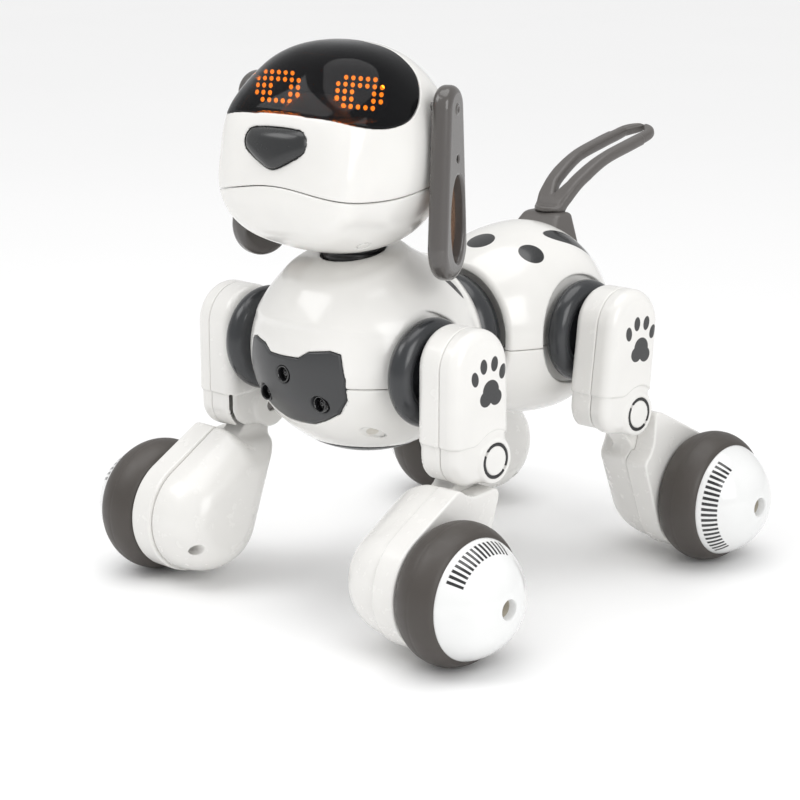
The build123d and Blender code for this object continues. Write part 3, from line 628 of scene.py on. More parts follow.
def head_field(p):
    """Skull and muzzle, blended, seen straight ahead from the neck axis."""
    q = abs((p - np.array(SKULL)) / SKULL_RADII)
    near = (q ** SKULL_POWER).sum(1) ** (1 / SKULL_POWER)
    slope = length_of(*(q ** (SKULL_POWER - 1) / SKULL_RADII).T) * sharp(near, 1e-3) ** (1 - SKULL_POWER)
    skull = (near - 1) / sharp(slope, 1e-4)
    y = p[:, 1] + 21.9 - 0.183 * (p[:, 2] - 190)
    z = p[:, 2] - 199.5
    across = (abs(p[:, 0] / 39.6) ** 4.2 + abs(y / 35.0) ** 4.2) ** (1 / 4.2)
    tall = np.where(z > 0, 4.2, 2.243)
    muzzle = ((across ** tall + abs(z / 34.25) ** tall) ** (1 / tall) - 1) * 34
    return join(skull, muzzle, 8)


def mouth_height(p):
    turn = np.arctan2(abs(p[:, 0]), -p[:, 1])
    return sum(c * np.cos(k * turn) for k, c in enumerate(MOUTH))


def visor_mask(p):
    """Millimetres inside the visor's outline, measured round the skull."""
    q = p - np.array(SKULL)
    ahead = -q[:, 1]
    w = ahead * math.cos(VISOR_TILT) + q[:, 2] * math.sin(VISOR_TILT)
    v = -ahead * math.sin(VISOR_TILT) + q[:, 2] * math.cos(VISOR_TILT)
    u = abs(q[:, 0])
    rho = np.arctan2(length_of(u, v), w)
    psi = np.arctan2(u, v)
    edge = np.interp(psi, VISOR_EDGE[:, 0], VISOR_EDGE[:, 1])
    return (edge - rho) * 44


BOARD_Y, BOARD_Z, BOARD_LEAN = -23.9, 231.5, 0.18     # the eye displays sit on a flat, leaning board


def board_gap(p):
    """How far a point is in front of the display board."""
    return BOARD_Y + (p[:, 2] - BOARD_Z) * BOARD_LEAN - p[:, 1]


JAW_PLUG = (24.6, 24.0)


def jaw(p):
    x, y, z = p.T
    body = both(head_field(p), z - mouth_height(p) + 0.18, 0.7)
    ring = abs(length_of(abs(x) - 24.0, y + JAW_PLUG[0]) - 2.9) - 0.25
    mark = both(ring, both(z - 178, -(head_field(p) + 0.5), 0.1), 0.1)
    return less(body, mark, 0.2)


def crown(p):
    head = head_field(p)
    body = both(head, mouth_height(p) + 0.18 - p[:, 2], 0.7)
    body = sharp(body, np.minimum(visor_mask(p) + 0.2, head + 17))
    return less(body, head_nose(p, 0.25), 0.3)


def visor(p):
    head = head_field(p)
    return both(both(head - 0.12, -(head + 1.7), 0.5), 0.12 - visor_mask(p), 0.9)


def liner(p):
    x, z = p[:, 0], p[:, 2]
    head = head_field(p)
    mass = sharp(sharp(head + 2.1, 0.35 - visor_mask(p)), -(head + 16.8))
    cavity = sharp(sharp(-board_gap(p), abs(x) - 37), sharp(z - 246, 221.5 - z))
    return sharp(mass, -cavity)


NOSE_CIRCLES = ((-12.8, 212.7, 6.0), (11.2, 212.7, 6.0), (-0.8, 209.9, 8.7))


def head_nose(p, gap):
    """The nose: a soft triangle standing proud of the muzzle."""
    x, z = p[:, 0], p[:, 2]
    plan = hull(x, z, NOSE_CIRCLES) - gap
    swell = 3.4 - 0.011 * (x ** 2 + (z - 211) ** 2)
    return both(both(plan, head_field(p) - swell - gap, 5.0), p[:, 1] + 30, 1)


HEAD_LOW, HEAD_HIGH = (-50, -66, 160), (50, 32, 254)
skin("head_shell_skin", crown, HEAD_LOW, HEAD_HIGH, 0.6, shell_white, "head", "white_shell",
     HEAD_PLACE, "head_shell")
skin("jaw_skin", jaw, HEAD_LOW, HEAD_HIGH, 0.6, shell_white, "head", "white_shell", HEAD_PLACE, "jaw_shell")
skin("visor_glass_skin", visor, HEAD_LOW, HEAD_HIGH, 0.5, visor_glass, "head", "visor_black",
     HEAD_PLACE, "visor")
skin("eye_board", liner, HEAD_LOW, HEAD_HIGH, 0.8, black_matte, "head", "led_board", HEAD_PLACE,
     "eye_display")
skin("nose_skin", lambda p: head_nose(p, 0), (-20, -66, 195), (20, -28, 226), 0.4, nose_dark,
     "head", "nose_black", HEAD_PLACE, "nose")

EYE_X, DOT_STEP, DOT_RISE = 21.83, 3.77, 2.94          # middle of an eye, and between its dots
EYE_ROWS = ("0111110", "1111111", "1110011", "1110011", "0111110")


def eye_dots():
    """Amber dots of both eye displays, as low domes on the board."""
    dome = [(0.0, 1.02), (0.25, 0.98), (0.42, 0.7), (0.5, 0.02), (-0.2, 0.02), (-0.2, 1.02)]
    facing = Matrix.Diagonal((1, -1, 1, 1))
    dots = []
    for side in (1, -1):
        for r, row in enumerate(EYE_ROWS):
            for c, lit in enumerate(row):
                if lit == "0":
                    continue
                rise = (2 - r) * DOT_RISE
                middle = Vector((side * EYE_X + (c - 3) * DOT_STEP, BOARD_Y + rise * math.sin(BOARD_LEAN),
                                 BOARD_Z + rise * math.cos(BOARD_LEAN)))
                dot = lathe_mesh("dot", dome, 16, axis=1)
                dot.transform(Matrix.Translation(middle * MM) @ facing)
                dot.flip_normals()
                dots.append(dot)
    return merged("eye_dots", dots)


piece("eye_dots", eye_dots(), led_amber, "head", "led_board", HEAD_PLACE)

neck_profile = [(141.5, 0.5), (141.5, 7.4), (144, 7.4), (144, 13.3), (150, 13.3), (150.6, 12.8), (151.4, 12.8),
                (152, 13.3), (158, 13.3), (158.6, 12.8), (159.4, 12.8), (160, 13.3), (176, 13.3), (176, 0.5)]
piece("neck_sleeve", lathe_mesh("neck_sleeve", rounded(neck_profile, 0.5), 96, axis=2), black_matte, "head",
      "neck_black", Matrix.Translation((NECK.x, NECK.y, 0)), "neck_post")

# ---------------------------------------------------------------- ears
EAR_X, EAR_Y, EAR_SPLAY = 51.0, -1.2, 15.0
EAR_PIVOT = 225.0


def ear_plan(p, grow=0.0):
    return round_cone(p[:, 1], p[:, 2], (0, 225), 10 + grow, (0.5, 166.8), 15.0 + grow)


def ear_hole(p):
    x, y, z = p.T
    return ellipsoid(np.stack([x * 0, y, z], 1), (0, 2.0, 178), (1e3, 8.2, 18.6))


def ear(p):
    x = p[:, 0]
    body = slab(ear_plan(p), x, 4.45, 3.6)
    body = less(body, ear_hole(p), 1.6)
    screw = both(pipe(p, 0, (1.0, 204), 1.5), 2.1 - x, 0.2)
    body = less(body, screw, 0.4)
    bump = both(pipe(p, 0, (0, EAR_PIVOT), 2.3), abs(x - 4.1) - 0.75, 0.5)
    body = join(body, bump, 0.4)
    dent = both(pipe(p, 0, (0, EAR_PIVOT), 1.1), 4.4 - x, 0.2)
    body = less(body, dent, 0.2)
    stub = both(pipe(p, 0, (1.5, EAR_PIVOT), 2.2), abs(x + 8) - 5.5, 0.5)
    return join(body, stub, 1.2)


def window(p):
    return slab(ear_hole(p) - 0.6, p[:, 0] + 0.6, 0.7, 0.3)


ear_mesh = field_mesh("ear_left_skin", ear, (-14, -16, 151), (6, 17, 236), 0.5)
window_mesh = field_mesh("ear_left_window", window, (-2, -8, 158), (2, 12, 198), 0.5)
for side, word in ((1, "left"), (-1, "right")):
    place = HEAD_PLACE @ at(side * EAR_X, EAR_Y, 0) @ spun(side * EAR_SPLAY, "Z")
    shell = ear_mesh.copy() if side > 0 else mirrored(ear_mesh, "ear_right_skin")
    pane = window_mesh.copy() if side > 0 else mirrored(window_mesh, "ear_right_window")
    shell.name, pane.name = f"ear_{word}_skin", f"ear_{word}_window"
    piece(f"ear_{word}_skin", shell, ear_plastic, f"ear_{word}", "ear_grey", place, f"ear_{word}")
    piece(f"ear_{word}_window", pane, ear_window, f"ear_{word}", "ear_grey", place)

# ---------------------------------------------------------------- chest
CHEST = (0.0, -67.75, 115.0)
CHEST_RADII = (52.0, 52.0, 46.5)
SEAM_Z = 107.0
SHOULDER = joint_place("front_left_shoulder") / MM
HIP = joint_place("rear_left_hip") / MM
NECK_Y = NECK.y / MM
PANEL = ((0, 118.7), (8.5, 118.9), (13.4, 122.1), (22.6, 123.2), (26.8, 122.0), (28.6, 111.5), (28.0, 102.0),
         (23.2, 95.2), (14.8, 90.6), (8.4, 88.2), (0, 87.8))
PORTS = ((0, 110.8), (-16.5, 99.0), (16.5, 99.0))


def panel_plan(p):
    corners = [(x, z) for x, z in PANEL] + [(-x, z) for x, z in PANEL[-2:0:-1]]
    return polygon(p[:, 0], p[:, 2], corners)


def chest_form(p):
    """The chest with its neck cone, before anything is cut from it."""
    x, y, z = p.T
    globe = ellipsoid(p, CHEST, CHEST_RADII)
    r = length_of(x, y - NECK_Y)
    cone = (r - (31 - (z - 146) * 0.58)) * 0.86
    rim = (z - 155.6 - 0.28 * (y - NECK_Y)) * 0.96
    cone = both(both(cone, rim, 2.2), 135 - z, 2)
    return join(globe, cone, 7)


def chest_cut(p):
    x, y, z = p.T
    form = chest_form(p)
    form = both(form, y - (CHEST[1] + 45), 3)
    bore = both(length_of(x, y - NECK_Y) - 14.4, 143 - z, 0.6)
    form = less(form, bore, 1.4)
    pocket = sharp(length_of(y - SHOULDER.y, z - SHOULDER.z) - 25.5, 43.6 - abs(x))
    form = less(form, pocket, 1.2)
    recess = sharp(panel_plan(p) - 0.25, sharp(y + 85, -(chest_form(p) + 4)))
    form = less(form, recess, 0.5)
    plug = sharp(length_of(abs(x) - 28.8, z - 84.9) - 3.0, sharp(y + 85, -(chest_form(p) + 1.1)))
    return less(form, plug, 0.5)


def chest_top(p):
    return both(chest_cut(p), SEAM_Z + 0.14 - p[:, 2], 0.6)


def chest_bottom(p):
    x, y, z = p.T
    hatch = sharp(length_of(x, y - CHEST[1] + 2) - 24.2, sharp(z - 95, -(chest_form(p) + 3)))
    return less(both(chest_cut(p), z - SEAM_Z + 0.14, 0.6), hatch, 0.5)


def hatch(p):
    x, y, z = p.T
    form = chest_form(p)
    body = both(both(form - 0.25, -(form + 2.6), 0.5), length_of(x, y - CHEST[1] + 2) - 23.8, 0.8)
    body = both(body, z - 95, 0.2)
    notch = both(length_of(x, y - CHEST[1] - 15) - 3.2, -(form + 1.0), 0.2)
    return less(body, sharp(notch, z - 90), 0.4)


def breast_panel(p):
    form = chest_form(p)
    body = both(both(form - 0.35, -(form + 3.5), 0.5), panel_plan(p), 1.0)
    body = both(body, p[:, 1] + 85, 0.2)
    for x, z in PORTS:
        r = length_of(p[:, 0] - x, p[:, 2] - z)
        body = less(body, sharp(r - 3.9, p[:, 1] + 85), 0.8)
    return body


def port_barrel(x, z):
    """A ringed sensor seated in a port, along Y."""
    wide, deep, tall = CHEST_RADII
    face = -math.sqrt(1 - (x / wide) ** 2 - ((z - CHEST[2]) / tall) ** 2) * deep + CHEST[1]
    steps = [(face - 0.5, 3.75), (face - 0.5, 3.1), (face + 0.8, 2.7), (face + 2.6, 2.5), (face + 2.6, 1.5),
             (face + 1.2, 1.3), (face + 1.0, 0.3), (face + 5.0, 0.3), (face + 5.0, 3.75)]
    mesh = lathe_mesh("barrel", rounded(steps, 0.25, 3), 48, axis=1)
    mesh.transform(at(x, 0, z))
    return mesh


CHEST_LOW, CHEST_HIGH = (-53, -121, 67), (53, -22, 163)
skin("chest_top_skin", chest_top, CHEST_LOW, CHEST_HIGH, 0.64, chest_white, "chest", "white_shell",
     replaces="chest_upper")
skin("chest_bottom_skin", chest_bottom, CHEST_LOW, (53, -22, 109), 0.6, shell_white, "chest",
     "white_shell", replaces="chest_lower")
skin("belly_hatch", hatch, (-26, -96, 67), (26, -44, 84), 0.5, panel_grey, "chest", "panel_dark",
     replaces="battery_cover")
skin("breast_panel_skin", breast_panel, (-31, -122, 85), (31, -90, 124), 0.4, panel_grey, "chest",
     "panel_dark", replaces="chest_panel")
barrels = merged("port_barrels", [port_barrel(x, z) for x, z in PORTS])
piece("port_barrels", barrels, black_gloss, "chest", "lens_black", replaces="sensor_lenses")


def plug_mesh(name, centre, direction, radius):
    """A low round plug set in a recess, facing a direction."""
    profile = rounded([(-1.2, 0.05), (0, 0.05), (0, radius), (-1.2, radius)], 0.4, 4)
    mesh = lathe_mesh(name, profile, 40, axis=0)
    turn = Vector((1, 0, 0)).rotation_difference(Vector(direction)).to_matrix().to_4x4()
    mesh.transform(Matrix.Translation(Vector(centre) * MM) @ turn)
    return mesh


def on_surface(field, start, direction, reach=60):
    """Where a straight line first meets a shape, stepping along it."""
    p, d = np.array([start], float), np.array(direction, float)
    d = d / np.linalg.norm(d)
    for _ in range(200):
        p = p + d * float(np.clip(field(p)[0] * 0.8, 0.005, 4))
    return p[0]


def normal_at(field, point):
    p = np.array([point], float)
    n = np.array([(field(p + e) - field(p - e))[0] for e in np.eye(3) * 0.3])
    return n / np.linalg.norm(n)


plugs = []
for side in (1, -1):
    spot_at = on_surface(chest_form, (side * 28.8, -127, 84.9), (0, 1, 0))
    n = normal_at(chest_form, spot_at)
    plugs.append(plug_mesh("plug", spot_at - n * 0.55, n, 2.75))
piece("chest_plugs", merged("chest_plugs", plugs), plug_beige, "chest", "white_shell")

# ---------------------------------------------------------------- rump
RUMP = (0.0, 39.25, 112.0)
RIM_Y, RUMP_WALL = -7.75, -1.75


def egg(p, inset):
    """Round about a lengthways axis: a short ellipse behind, a long one ahead."""
    y = p[:, 1] - RUMP[1]
    r = length_of(p[:, 0], p[:, 2] - RUMP[2])
    a = np.where(y > 0, 36.0, 67.0) - inset
    b = 46.0 - inset
    near = length_of(y / a, r / b)
    slope = length_of(y / a ** 2, r / b ** 2)
    return near * (near - 1) / sharp(slope, 1e-6)


def rump_cut(p):
    x, y, z = p.T
    form = both(egg(p, 0), RIM_Y - y, 1.4)
    mouth = sharp(egg(p, 3.2), y - RUMP_WALL)
    form = less(form, mouth, 1.2)
    pocket = sharp(length_of(y - HIP.y, z - HIP.z) - 25.5, 36.1 - abs(x))
    form = less(form, pocket, 1.2)
    slot_hole = slab(sharp(abs(x) - 2.3, abs(y - RUMP[1] - 1.5) - 4.3), z - 66, 3, 0.2)
    form = less(form, slot_hole, 0.3)
    plug = sharp(length_of(abs(x) - 23.8, z - 90.5) - 2.6,
                      sharp(y - 36, -(egg(p, 0) + 1.0)))
    return less(form, plug, 0.5)


def rump_top(p):
    return both(rump_cut(p), SEAM_Z + 0.14 - p[:, 2], 0.6)


def rump_bottom(p):
    return both(rump_cut(p), p[:, 2] - SEAM_Z + 0.14, 0.6)


RUMP_LOW, RUMP_HIGH = (-47, -9, 64), (47, 77, 160)
skin("rump_top_skin", rump_top, RUMP_LOW, RUMP_HIGH, 0.6, rump_white, "rump", "white_shell",
      replaces="rump_upper")
skin("rump_bottom_skin", rump_bottom, RUMP_LOW, (47, 77, 109), 0.6, shell_white, "rump",
      "white_shell", replaces="rump_lower")
plugs = []
for side in (1, -1):
    spot_at = on_surface(lambda p: egg(p, 0), (side * 60, 14.5, 90.5), (-side, 0, 0))
    n = normal_at(lambda p: egg(p, 0), spot_at)
    plugs.append(plug_mesh("plug", spot_at + n * 0.1, n, 2.4))
piece("rump_plugs", merged("rump_plugs", plugs), plug_beige, "rump", "white_shell")


def knob(p):
    x, y, z = p.T
    body = slab(slab(abs(x) - 4, y - RUMP[1], 4, 1.0), z - 70.7, 0.7, 0.2)
    stem = slab(slab(abs(x) - 1.95, y - RUMP[1], 2.45, 0.4), z - 67.7, 2.35, 0.4)
    ribs = both(stem, -(abs((y * 1.1) % 1.6 - 0.8) - 0.35 + sharp(0, (z - 66) * 3)), 0.1)
    return join(body, join(stem, ribs, 0.1), 0.2)


skin("switch_knob", knob, (-5, 34, 64), (5, 45, 73), 0.2, black_matte, "switch", "neck_black",
      replaces="power_switch")

collar_profile = [(-22.6, 12.0), (-22.6, 20.0)] + [tuple(x) for x in arc((-14.2, 18.6), 10.4, 168, 30, 26)] + \
    [(-4.6, 22.6), (-2.6, 18.0), (-2.6, 8.0), (12.0, 8.0), (12.0, 6.0), (-22.6, 6.0)]
collar = lathe_mesh("waist_collar_skin", rounded(collar_profile, 0.5, 3), 144, axis=1)
piece("waist_collar_skin", collar, charcoal, "chest", "dark_disc", at(0, 0, RUMP[2]), "waist_collar")

# ---------------------------------------------------------------- tail
TAIL_Y = 58.75


def tail_foot(p):
    """Tapered saddle that the tail stands on."""
    x, y, z = p.T
    share = np.clip((z - 150) / 10.5, -0.6, 1)
    half_x = 15.0 - 4.2 * share
    half_y = 9.2 - 3.8 * share
    a, b = abs(x) - half_x, abs(y - 52.8 - 4.6 * share) - half_y
    plan = both(a, b, 3.0)
    body = both(plan * 0.86, z - 160.4, 2.0)
    return both(body, -(egg(p, 1.0)), 0.5)


skin("tail_foot", tail_foot, (-22, 48, 140), (22, 70, 161), 0.5, tail_plastic, "rump",
      "tail_grey", replaces="tail_base")

TAIL_LINE = ((58.75, 159.5), (60.0, 163.0), (64.5, 168.3), (73.0, 175.0), (88.5, 182.6), (108.0, 187.6),
             (121.5, 190.6), (130.5, 193.2))


TAIL_CURVE = smooth_line(TAIL_LINE, 140)
TAIL_RUN = np.concatenate([[0], np.cumsum(np.sqrt((np.diff(TAIL_CURVE, axis=0) ** 2).sum(1)))])


def tail(p):
    """A flat ribbon bent along a curve, slotted into two strands that meet in a spoon-shaped tip."""
    flat = p[:, 1:3]
    best = np.full(len(p), 1e9)
    run = np.zeros(len(p))
    lift = np.zeros(len(p))
    for n in range(len(TAIL_CURVE) - 1):
        a, b = TAIL_CURVE[n], TAIL_CURVE[n + 1]
        e = b - a
        span = math.hypot(*e)
        raw = ((flat - a) @ e) / span ** 2
        low = -3.0 if n == 0 else 0.0
        high = 40.0 if n == len(TAIL_CURVE) - 2 else 1.0
        share = np.clip(raw, low, high)
        gap = flat - a - share[:, None] * e
        far = (gap ** 2).sum(1)
        closer = far < best
        best = np.where(closer, far, best)
        run = np.where(closer, TAIL_RUN[n] + share * span, run)
        lift = np.where(closer, (e[0] * gap[:, 1] - e[1] * gap[:, 0]) / span, lift)
    total = TAIL_RUN[-1]
    half = np.interp(run, (0, 8, 24, 60, 84, total), (7.2, 9.4, 11.2, 11.9, 11.4, 9.6))
    x = abs(p[:, 0])
    edge = (x - half) * 0.97
    tip = length_of(x, sharp(run - (total - 9.2), 0)) - 11.2
    outline = both(edge, np.where(run > total - 14, tip, -20), 2.5)
    slot_half = np.interp(run, (9, 16, 40, 76, 83), (0, 2.8, 5.2, 5.4, 0))
    past = length_of(sharp(9 - run, run - 83), x)
    slot_gap = np.where((run > 9) & (run < 83), slot_half - x, -sharp(past, 0.3))
    outline = both(outline, slot_gap, 1.5)
    thick = np.interp(run, (0, 20, 70, total), (3.0, 2.75, 2.7, 2.5))
    ribbon = slab(outline, lift, thick, 2.1)
    foot = both(pipe(p, 2, (0, TAIL_Y), 7.4), abs(p[:, 2] - 161.9) - 1.2, 1.0)
    return join(both(ribbon, -run + 0.5, 1), foot, 1.6)


skin("tail_skin", tail, (-14, 50, 159), (14, 142, 197), 0.55, tail_plastic, "tail", "tail_grey",
      replaces="tail")

# ---------------------------------------------------------------- legs, drawn as a rear left one
KNEE = (8.3, -35.0)
THIGH_CIRCLES = ((0.0, 5.4, 17.6), (-4.6, -32.0, 13.0), (8.3, -35.0, 10.5))
SHANK = 60.65
FOLD = math.radians(46)


def thigh_form(p):
    plan = hull(p[:, 1], p[:, 2], THIGH_CIRCLES)
    x = p[:, 0] - 61.75
    upper = slab(plan, x, 11.75, 5.4)
    lower = slab(plan + 0.9, x, 10.95, 4.6)
    knee = length_of(p[:, 1] - KNEE[0], p[:, 2] - KNEE[1])
    below = join(p[:, 2] + 26.4, knee - 13.3, 3.0)
    upper = both(upper, -below, 1.1)
    boss = slab(knee - 10.3, x, 11.9, 1.3)
    return join(join(upper, lower, 0.5), boss, 1.6)


def lug_slot(p):
    x, y, z = p.T
    plan = hull(y, z, THIGH_CIRCLES)
    inner = np.minimum(plan + 2.0, sharp(abs(y - 9) - 20, z + 27))
    return sharp(inner, abs(x - 58.7) - 6.7)


def thigh_out(p):
    x, y, z = p.T
    form = both(thigh_form(p), 64.12 - x, 0.7)
    form = less(form, lug_slot(p), 0.3)
    knee = length_of(y - KNEE[0], z - KNEE[1])
    groove = sharp(abs(knee - 7.15) - 0.75, 72.6 - x)
    return less(form, groove, 0.2)


def thigh_in(p):
    x, y, z = p.T
    form = both(thigh_form(p), x - 63.88, 0.7)
    form = less(form, lug_slot(p), 0.3)
    screw = sharp(length_of(y - KNEE[0], z - KNEE[1]) - 2.9, x - 51.6)
    return less(form, screw, 0.5)


def knee_slot_shade(p):
    """Painted shade of the knee slots: a dark ring filling the groove round the knee flush with its surface,
    with two bridges.
    """
    y, z = p[:, 1] - KNEE[0], p[:, 2] - KNEE[1]
    ring = slab(abs(length_of(y, z) - 7.15) - 0.68, p[:, 0] - 73.15, 0.5, 0.15)
    a = math.radians(-35)
    bridge = abs(z * math.cos(a) - y * math.sin(a)) - 1.0
    return less(ring, bridge, 0.2)


def folded(y, z):
    arm = math.hypot(y - KNEE[0], z - KNEE[1])
    angle = math.atan2(z - KNEE[1], y - KNEE[0]) + FOLD
    return (arm * math.cos(angle), arm * math.sin(angle))


NOTCH = tuple((*folded(y, z), r) for y, z, r in THIGH_CIRCLES)


def shank_plan(p, wheel_r, neck_r):
    y, z = p[:, 1], p[:, 2]
    body = round_cone(y, z, (0, -SHANK), wheel_r, (0, -18), neck_r)
    return less(body, hull(y, z, NOTCH) - 0.9, 3.0)


def lug(p):
    x, y, z = p.T
    plan = round_cone(y, z, (0, 0), 7.0, (0, -28), 7.0)
    return slab(plan, x - 58.7, 6.0, 0.8)


def shank_in(p):
    x, y, z = p.T
    plan = shank_plan(p, 25.9, 11.6)
    a = sharp(plan + 15, 0) / 15
    b = sharp(60.5 - x, 0) / 22.5
    dome = (length_of(a, b) - 1) * 15
    form = both(dome, x - 62.88, 0.7)
    form = join(form, lug(p), 3.0)
    bottom = less(form, sharp(length_of(y + 7, z + SHANK + 17.8) - 2.6, x - 52), 0.5)
    screw = sharp(length_of(y, z) - 2.6, x - 54.0)
    return less(bottom, screw, 0.4)


def shank_out(p):
    x, y, z = p.T
    plan = shank_plan(p, 27.4, 12.0)
    form = slab(plan, x - 69.2, 6.05, 0.9)
    form = less(form, slab(round_cone(y, z, (0, 0), 7.4, (0, -28), 7.4), x - 60, 5.0, 0.3), 0.3)
    screw = rod(p, (66.5, 12, -SHANK + 25), (66.5, 9, -SHANK + 21.5), 2.5)
    return less(form, screw, 0.5)


WHEEL_X0, WHEEL_X1, CAP_RISE = 75.8, 97.0, 18.3


def tyre_profile():
    mid = (WHEEL_X0 + WHEEL_X1) / 2
    half, low, top = (WHEEL_X1 - WHEEL_X0) / 2, 26.9, 30.98
    sag = top - low
    radius = (half * half + sag * sag) / (2 * sag)
    crown_line = []
    for x in np.linspace(-half, half, 40):
        shoulder = 0.0 if abs(x) < half - 1.2 else (abs(x) - half + 1.2) ** 2 * 0.5
        dip = 0.18 * math.exp(-((x / 0.35) ** 2))
        crown_line.append((mid + x, top - radius + math.sqrt(radius ** 2 - x * x) - shoulder - dip))
    return [(WHEEL_X0, 24.3)] + crown_line + [(WHEEL_X1, 25.9), (WHEEL_X1 - 0.6, 25.4), (WHEEL_X1 - 0.6, 24.3)]


def cap_profile():
    tip, recess = WHEEL_X1 + CAP_RISE, 4.25
    edge = 26.2
    centre = (tip ** 2 - WHEEL_X1 ** 2 + recess ** 2 - edge ** 2) / (2 * (tip - WHEEL_X1))
    radius = math.hypot(WHEEL_X1 - centre, edge)
    dome = [(x, math.sqrt(radius ** 2 - (x - centre) ** 2)) for x in
            WHEEL_X1 + CAP_RISE * np.sin(np.linspace(0, math.pi / 2, 40)) * 0.975]
    lip = [(tip - 0.15, recess + 0.9), (tip - 0.25, recess + 0.35), (tip - 0.7, recess + 0.05)]
    well = [(WHEEL_X1 + 7.4, recess - 0.25), (WHEEL_X1 + 7.0, recess - 0.6), (WHEEL_X1 + 7.0, 1.2)]
    back, front = WHEEL_X0 + 0.6, WHEEL_X1 - 0.3
    inside = [(back, 1.2), (back, 24.2), (front, 24.2), (front, edge - 0.2)]
    return dome + lip + well + inside


def screw_field(p):
    """Round screw head with a cross recess, facing +X from its seat."""
    x, y, z = p.T
    head = both(ball(p, (-1.6, 0, 0), 3.4), both(length_of(y, z) - 2.7, -x, 0.2), 0.2)
    arms = np.minimum(sharp(abs(y) - 0.42, abs(z) - 1.7),
                      sharp(abs(z) - 0.42, abs(y) - 1.7))
    return less(head, sharp(arms, 0.7 - x), 0.15)


def disc_profile():
    """Bellied disc between body and thigh."""
    outer = arc((43.1, 18.1), 5.85, 168, 8, 30)
    return [(28.0, 0.6), (28.0, 6.9), (36.7, 6.9)] + [(36.7, 17.5)] + outer + \
        [(48.6, 16.6), (46.6, 15.6), (46.2, 14.4), (46.6, 9.0), (49.9, 8.8), (49.9, 0.6)]


LEG_FIELDS = {
    "thigh_outer": (thigh_out, (63, -19, -47), (75, 20, 24), 0.45),
    "thigh_inner": (thigh_in, (49, -19, -47), (65, 20, 24), 0.5),
    # the knee ring is painted shade: a flat black ring flush in the knee slots
    "knee_slot_shade": (knee_slot_shade, (72, -1, -45), (75, 18, -25), 0.25),
    "shank_inner": (shank_in, (37, -28, -90), (66, 28, 8), 0.5),
    "shank_outer": (shank_out, (62, -29, -90), (76, 29, 1), 0.45),
    "screw": (screw_field, (-0.5, -3.2, -3.2), (2.2, 3.2, 3.2), 0.12),
}
leg_meshes = {kind: field_mesh(kind, *settings) for kind, settings in LEG_FIELDS.items()}
leg_meshes["shoulder_disc"] = lathe_mesh("shoulder_disc", rounded(disc_profile(), 0.5, 3), 144)
leg_meshes["tyre"] = lathe_mesh("tyre", tyre_profile(), 160)
leg_meshes["hubcap"] = lathe_mesh("hubcap", cap_profile(), 160)
TICK_ARCS = {"front_left": (62, 150, 15), "front_right": (40, 150, 17), "rear_left": (118, 242, 20),
             "rear_right": (60, 180, 19)}
SCREW_SEAT = 6.9                         # from the cap's rim out to the foot of its screw
LEANS = {"front": 0.0, "rear": -7.0}     # degrees each thigh is turned about X
OUTS = {"front": 7.5, "rear": 0.0}       # millimetres further out than drawn
HUBS = {end: joint_place(f"{end}_left_wheel_spin") / MM for end in ("front", "rear")}
KNEES = {end: joint_place(f"{end}_left_knee") / MM for end in ("front", "rear")}
for end in ("front", "rear"):
    root = SHOULDER if end == "front" else HIP
    knee, hub = KNEES[end], HUBS[end]
    swing = math.atan2(hub.y - knee.y, knee.z - hub.z)
    for side, word in ((1, "left"), (-1, "right")):
        leg = f"{end}_{word}"
        out = side * OUTS[end]
        thigh_at = at(out, root.y, root.z) @ spun(LEANS[end], "X")
        shank_at = at(out, knee.y, knee.z) @ Matrix.Rotation(swing, 4, "X")
        wheel_at = at(out, hub.y, hub.z)

        def placed(kind, material, body, slot, place, extra=None, own_axes=False):
            """Puts one of the leg's meshes in place; an extra piece stands for no CAD node."""
            label = extra or f"{leg}_{kind}_skin"
            mesh = leg_meshes[kind].copy() if side > 0 else mirrored(leg_meshes[kind], label)
            mesh.name = label
            piece(label, mesh, material, body, slot, place, "" if extra else f"{leg}_{kind}", own_axes)

        thigh, shank, wheel = f"{leg}_thigh", f"{leg}_shank", f"{leg}_wheel"
        placed("shoulder_disc", charcoal, thigh, "dark_disc", thigh_at)
        placed("thigh_outer", thigh_white, thigh, "white_shell", thigh_at, own_axes=True)
        placed("thigh_inner", leg_white, thigh, "white_shell", thigh_at)
        # a black ring in the knee slots, painted shade of the slots
        placed("knee_slot_shade", black_matte, thigh, "neck_black", thigh_at, extra=f"{leg}_knee_slot_shade")
        placed("shank_outer", leg_white, shank, "white_shell", shank_at)
        placed("shank_inner", leg_white, shank, "white_shell", shank_at)
        placed("tyre", rubber, wheel, "tyre", wheel_at)
        cap_white = plastic(f"cap_white_{leg}", (0.80, 0.805, 0.80), 0.16, 0.05, coat=0.4, grain=0.02,
                            marks=lambda g, a=TICK_ARCS[leg]: ticks(g, *a), well=hub_well)
        placed("hubcap", cap_white, wheel, "cap_white", wheel_at, own_axes=True)
        seat = at(side * (WHEEL_X1 + SCREW_SEAT), 0, 0)
        placed("screw", steel, wheel, "steel", wheel_at @ seat, extra=f"{leg}_wheel_screw")

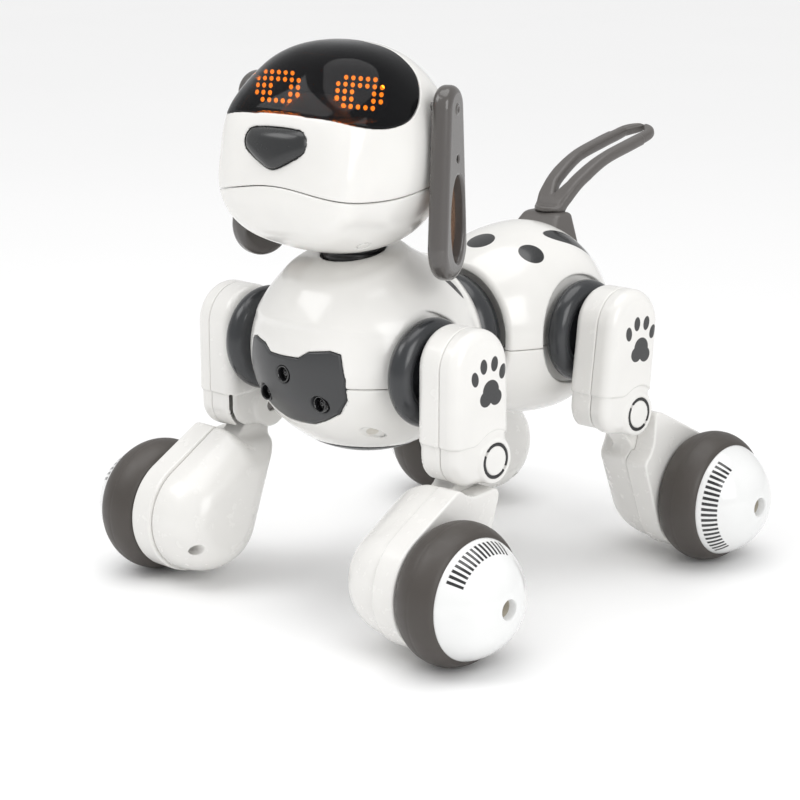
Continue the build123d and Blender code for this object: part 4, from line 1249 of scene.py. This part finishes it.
# ---------------------------------------------------------------- CAD nodes that stay as they are
INNER = {"battery_pack": plastic("cell_wrap", (0.05, 0.10, 0.28), 0.4),
         "main_board": plastic("board_green", (0.03, 0.16, 0.07), 0.45, grain=0.2),
         "speaker": plastic("speaker_cone", (0.03, 0.03, 0.03), 0.6, grain=0.2),
         "shoulder_motors": plastic("motor_case", (0.60, 0.58, 0.52), 0.45)}
INNER["hip_motors"] = INNER["shoulder_motors"]
for name, node in frame["nodes"].items():
    material = INNER.get(name, steel)
    node.data.materials.clear()
    node.data.materials.append(material)

# ---------------------------------------------------------------- floor, light and camera
bpy.ops.mesh.primitive_plane_add(size=24, location=(0, 0, -0.0002))
floor = bpy.context.active_object
floor.name = "studio_floor"
g = Graph("floor_pale")
g.link(g.mix(g.noise(3, 2), (0.95, 0.95, 0.95, 1), (0.97, 0.97, 0.97, 1)), g.base)
g.set(Roughness=0.55)
floor.data.materials.append(g.material)

world = bpy.data.worlds.new("studio")
world.use_nodes = True
backdrop = world.node_tree.nodes["Background"]
backdrop.inputs["Color"].default_value = (1, 1, 1, 1)
backdrop.inputs["Strength"].default_value = 0.61
bpy.context.scene.world = world
bpy.context.scene.view_settings.view_transform = "Standard"


def aim(thing, place, target):
    """Stands a light or a camera at a place, looking at a target, in metres."""
    thing.location = place
    thing.rotation_euler = (target - thing.location).to_track_quat("-Z", "Y").to_euler()


def softbox(name, place, target, size, power):
    light = bpy.data.lights.new(name, "AREA")
    light.shape = "RECTANGLE"
    light.size, light.size_y = size
    light.energy = power
    thing = bpy.data.objects.new(name, light)
    bpy.context.scene.collection.objects.link(thing)
    aim(thing, Vector(place), Vector(target))


MIDDLE = (0, 0, 0.12)
softbox("key", (-0.45, -0.75, 1.05), MIDDLE, (0.7, 0.5), 3.4)
softbox("fill", (1.1, -0.35, 0.65), MIDDLE, (0.6, 0.8), 5.0)
overhead = bpy.data.lights.new("overhead", "SUN")
overhead.energy = 1.15
overhead.angle = math.radians(50)
bpy.context.scene.collection.objects.link(bpy.data.objects.new("overhead", overhead))

SENSOR = 36
FOCAL_SHARE = 2235.4 / 800               # focal length over the picture's width
camera_data = bpy.data.cameras.new("photo_view")
camera_data.sensor_width = SENSOR
camera_data.lens = SENSOR * FOCAL_SHARE
camera = bpy.data.objects.new("photo_view", camera_data)
bpy.context.scene.collection.objects.link(camera)
aim(camera, Vector((681.0, -764.90, 339.64)) * MM, Vector((-9.63, -36.11, 81.94)) * MM)
bpy.context.scene.camera = camera
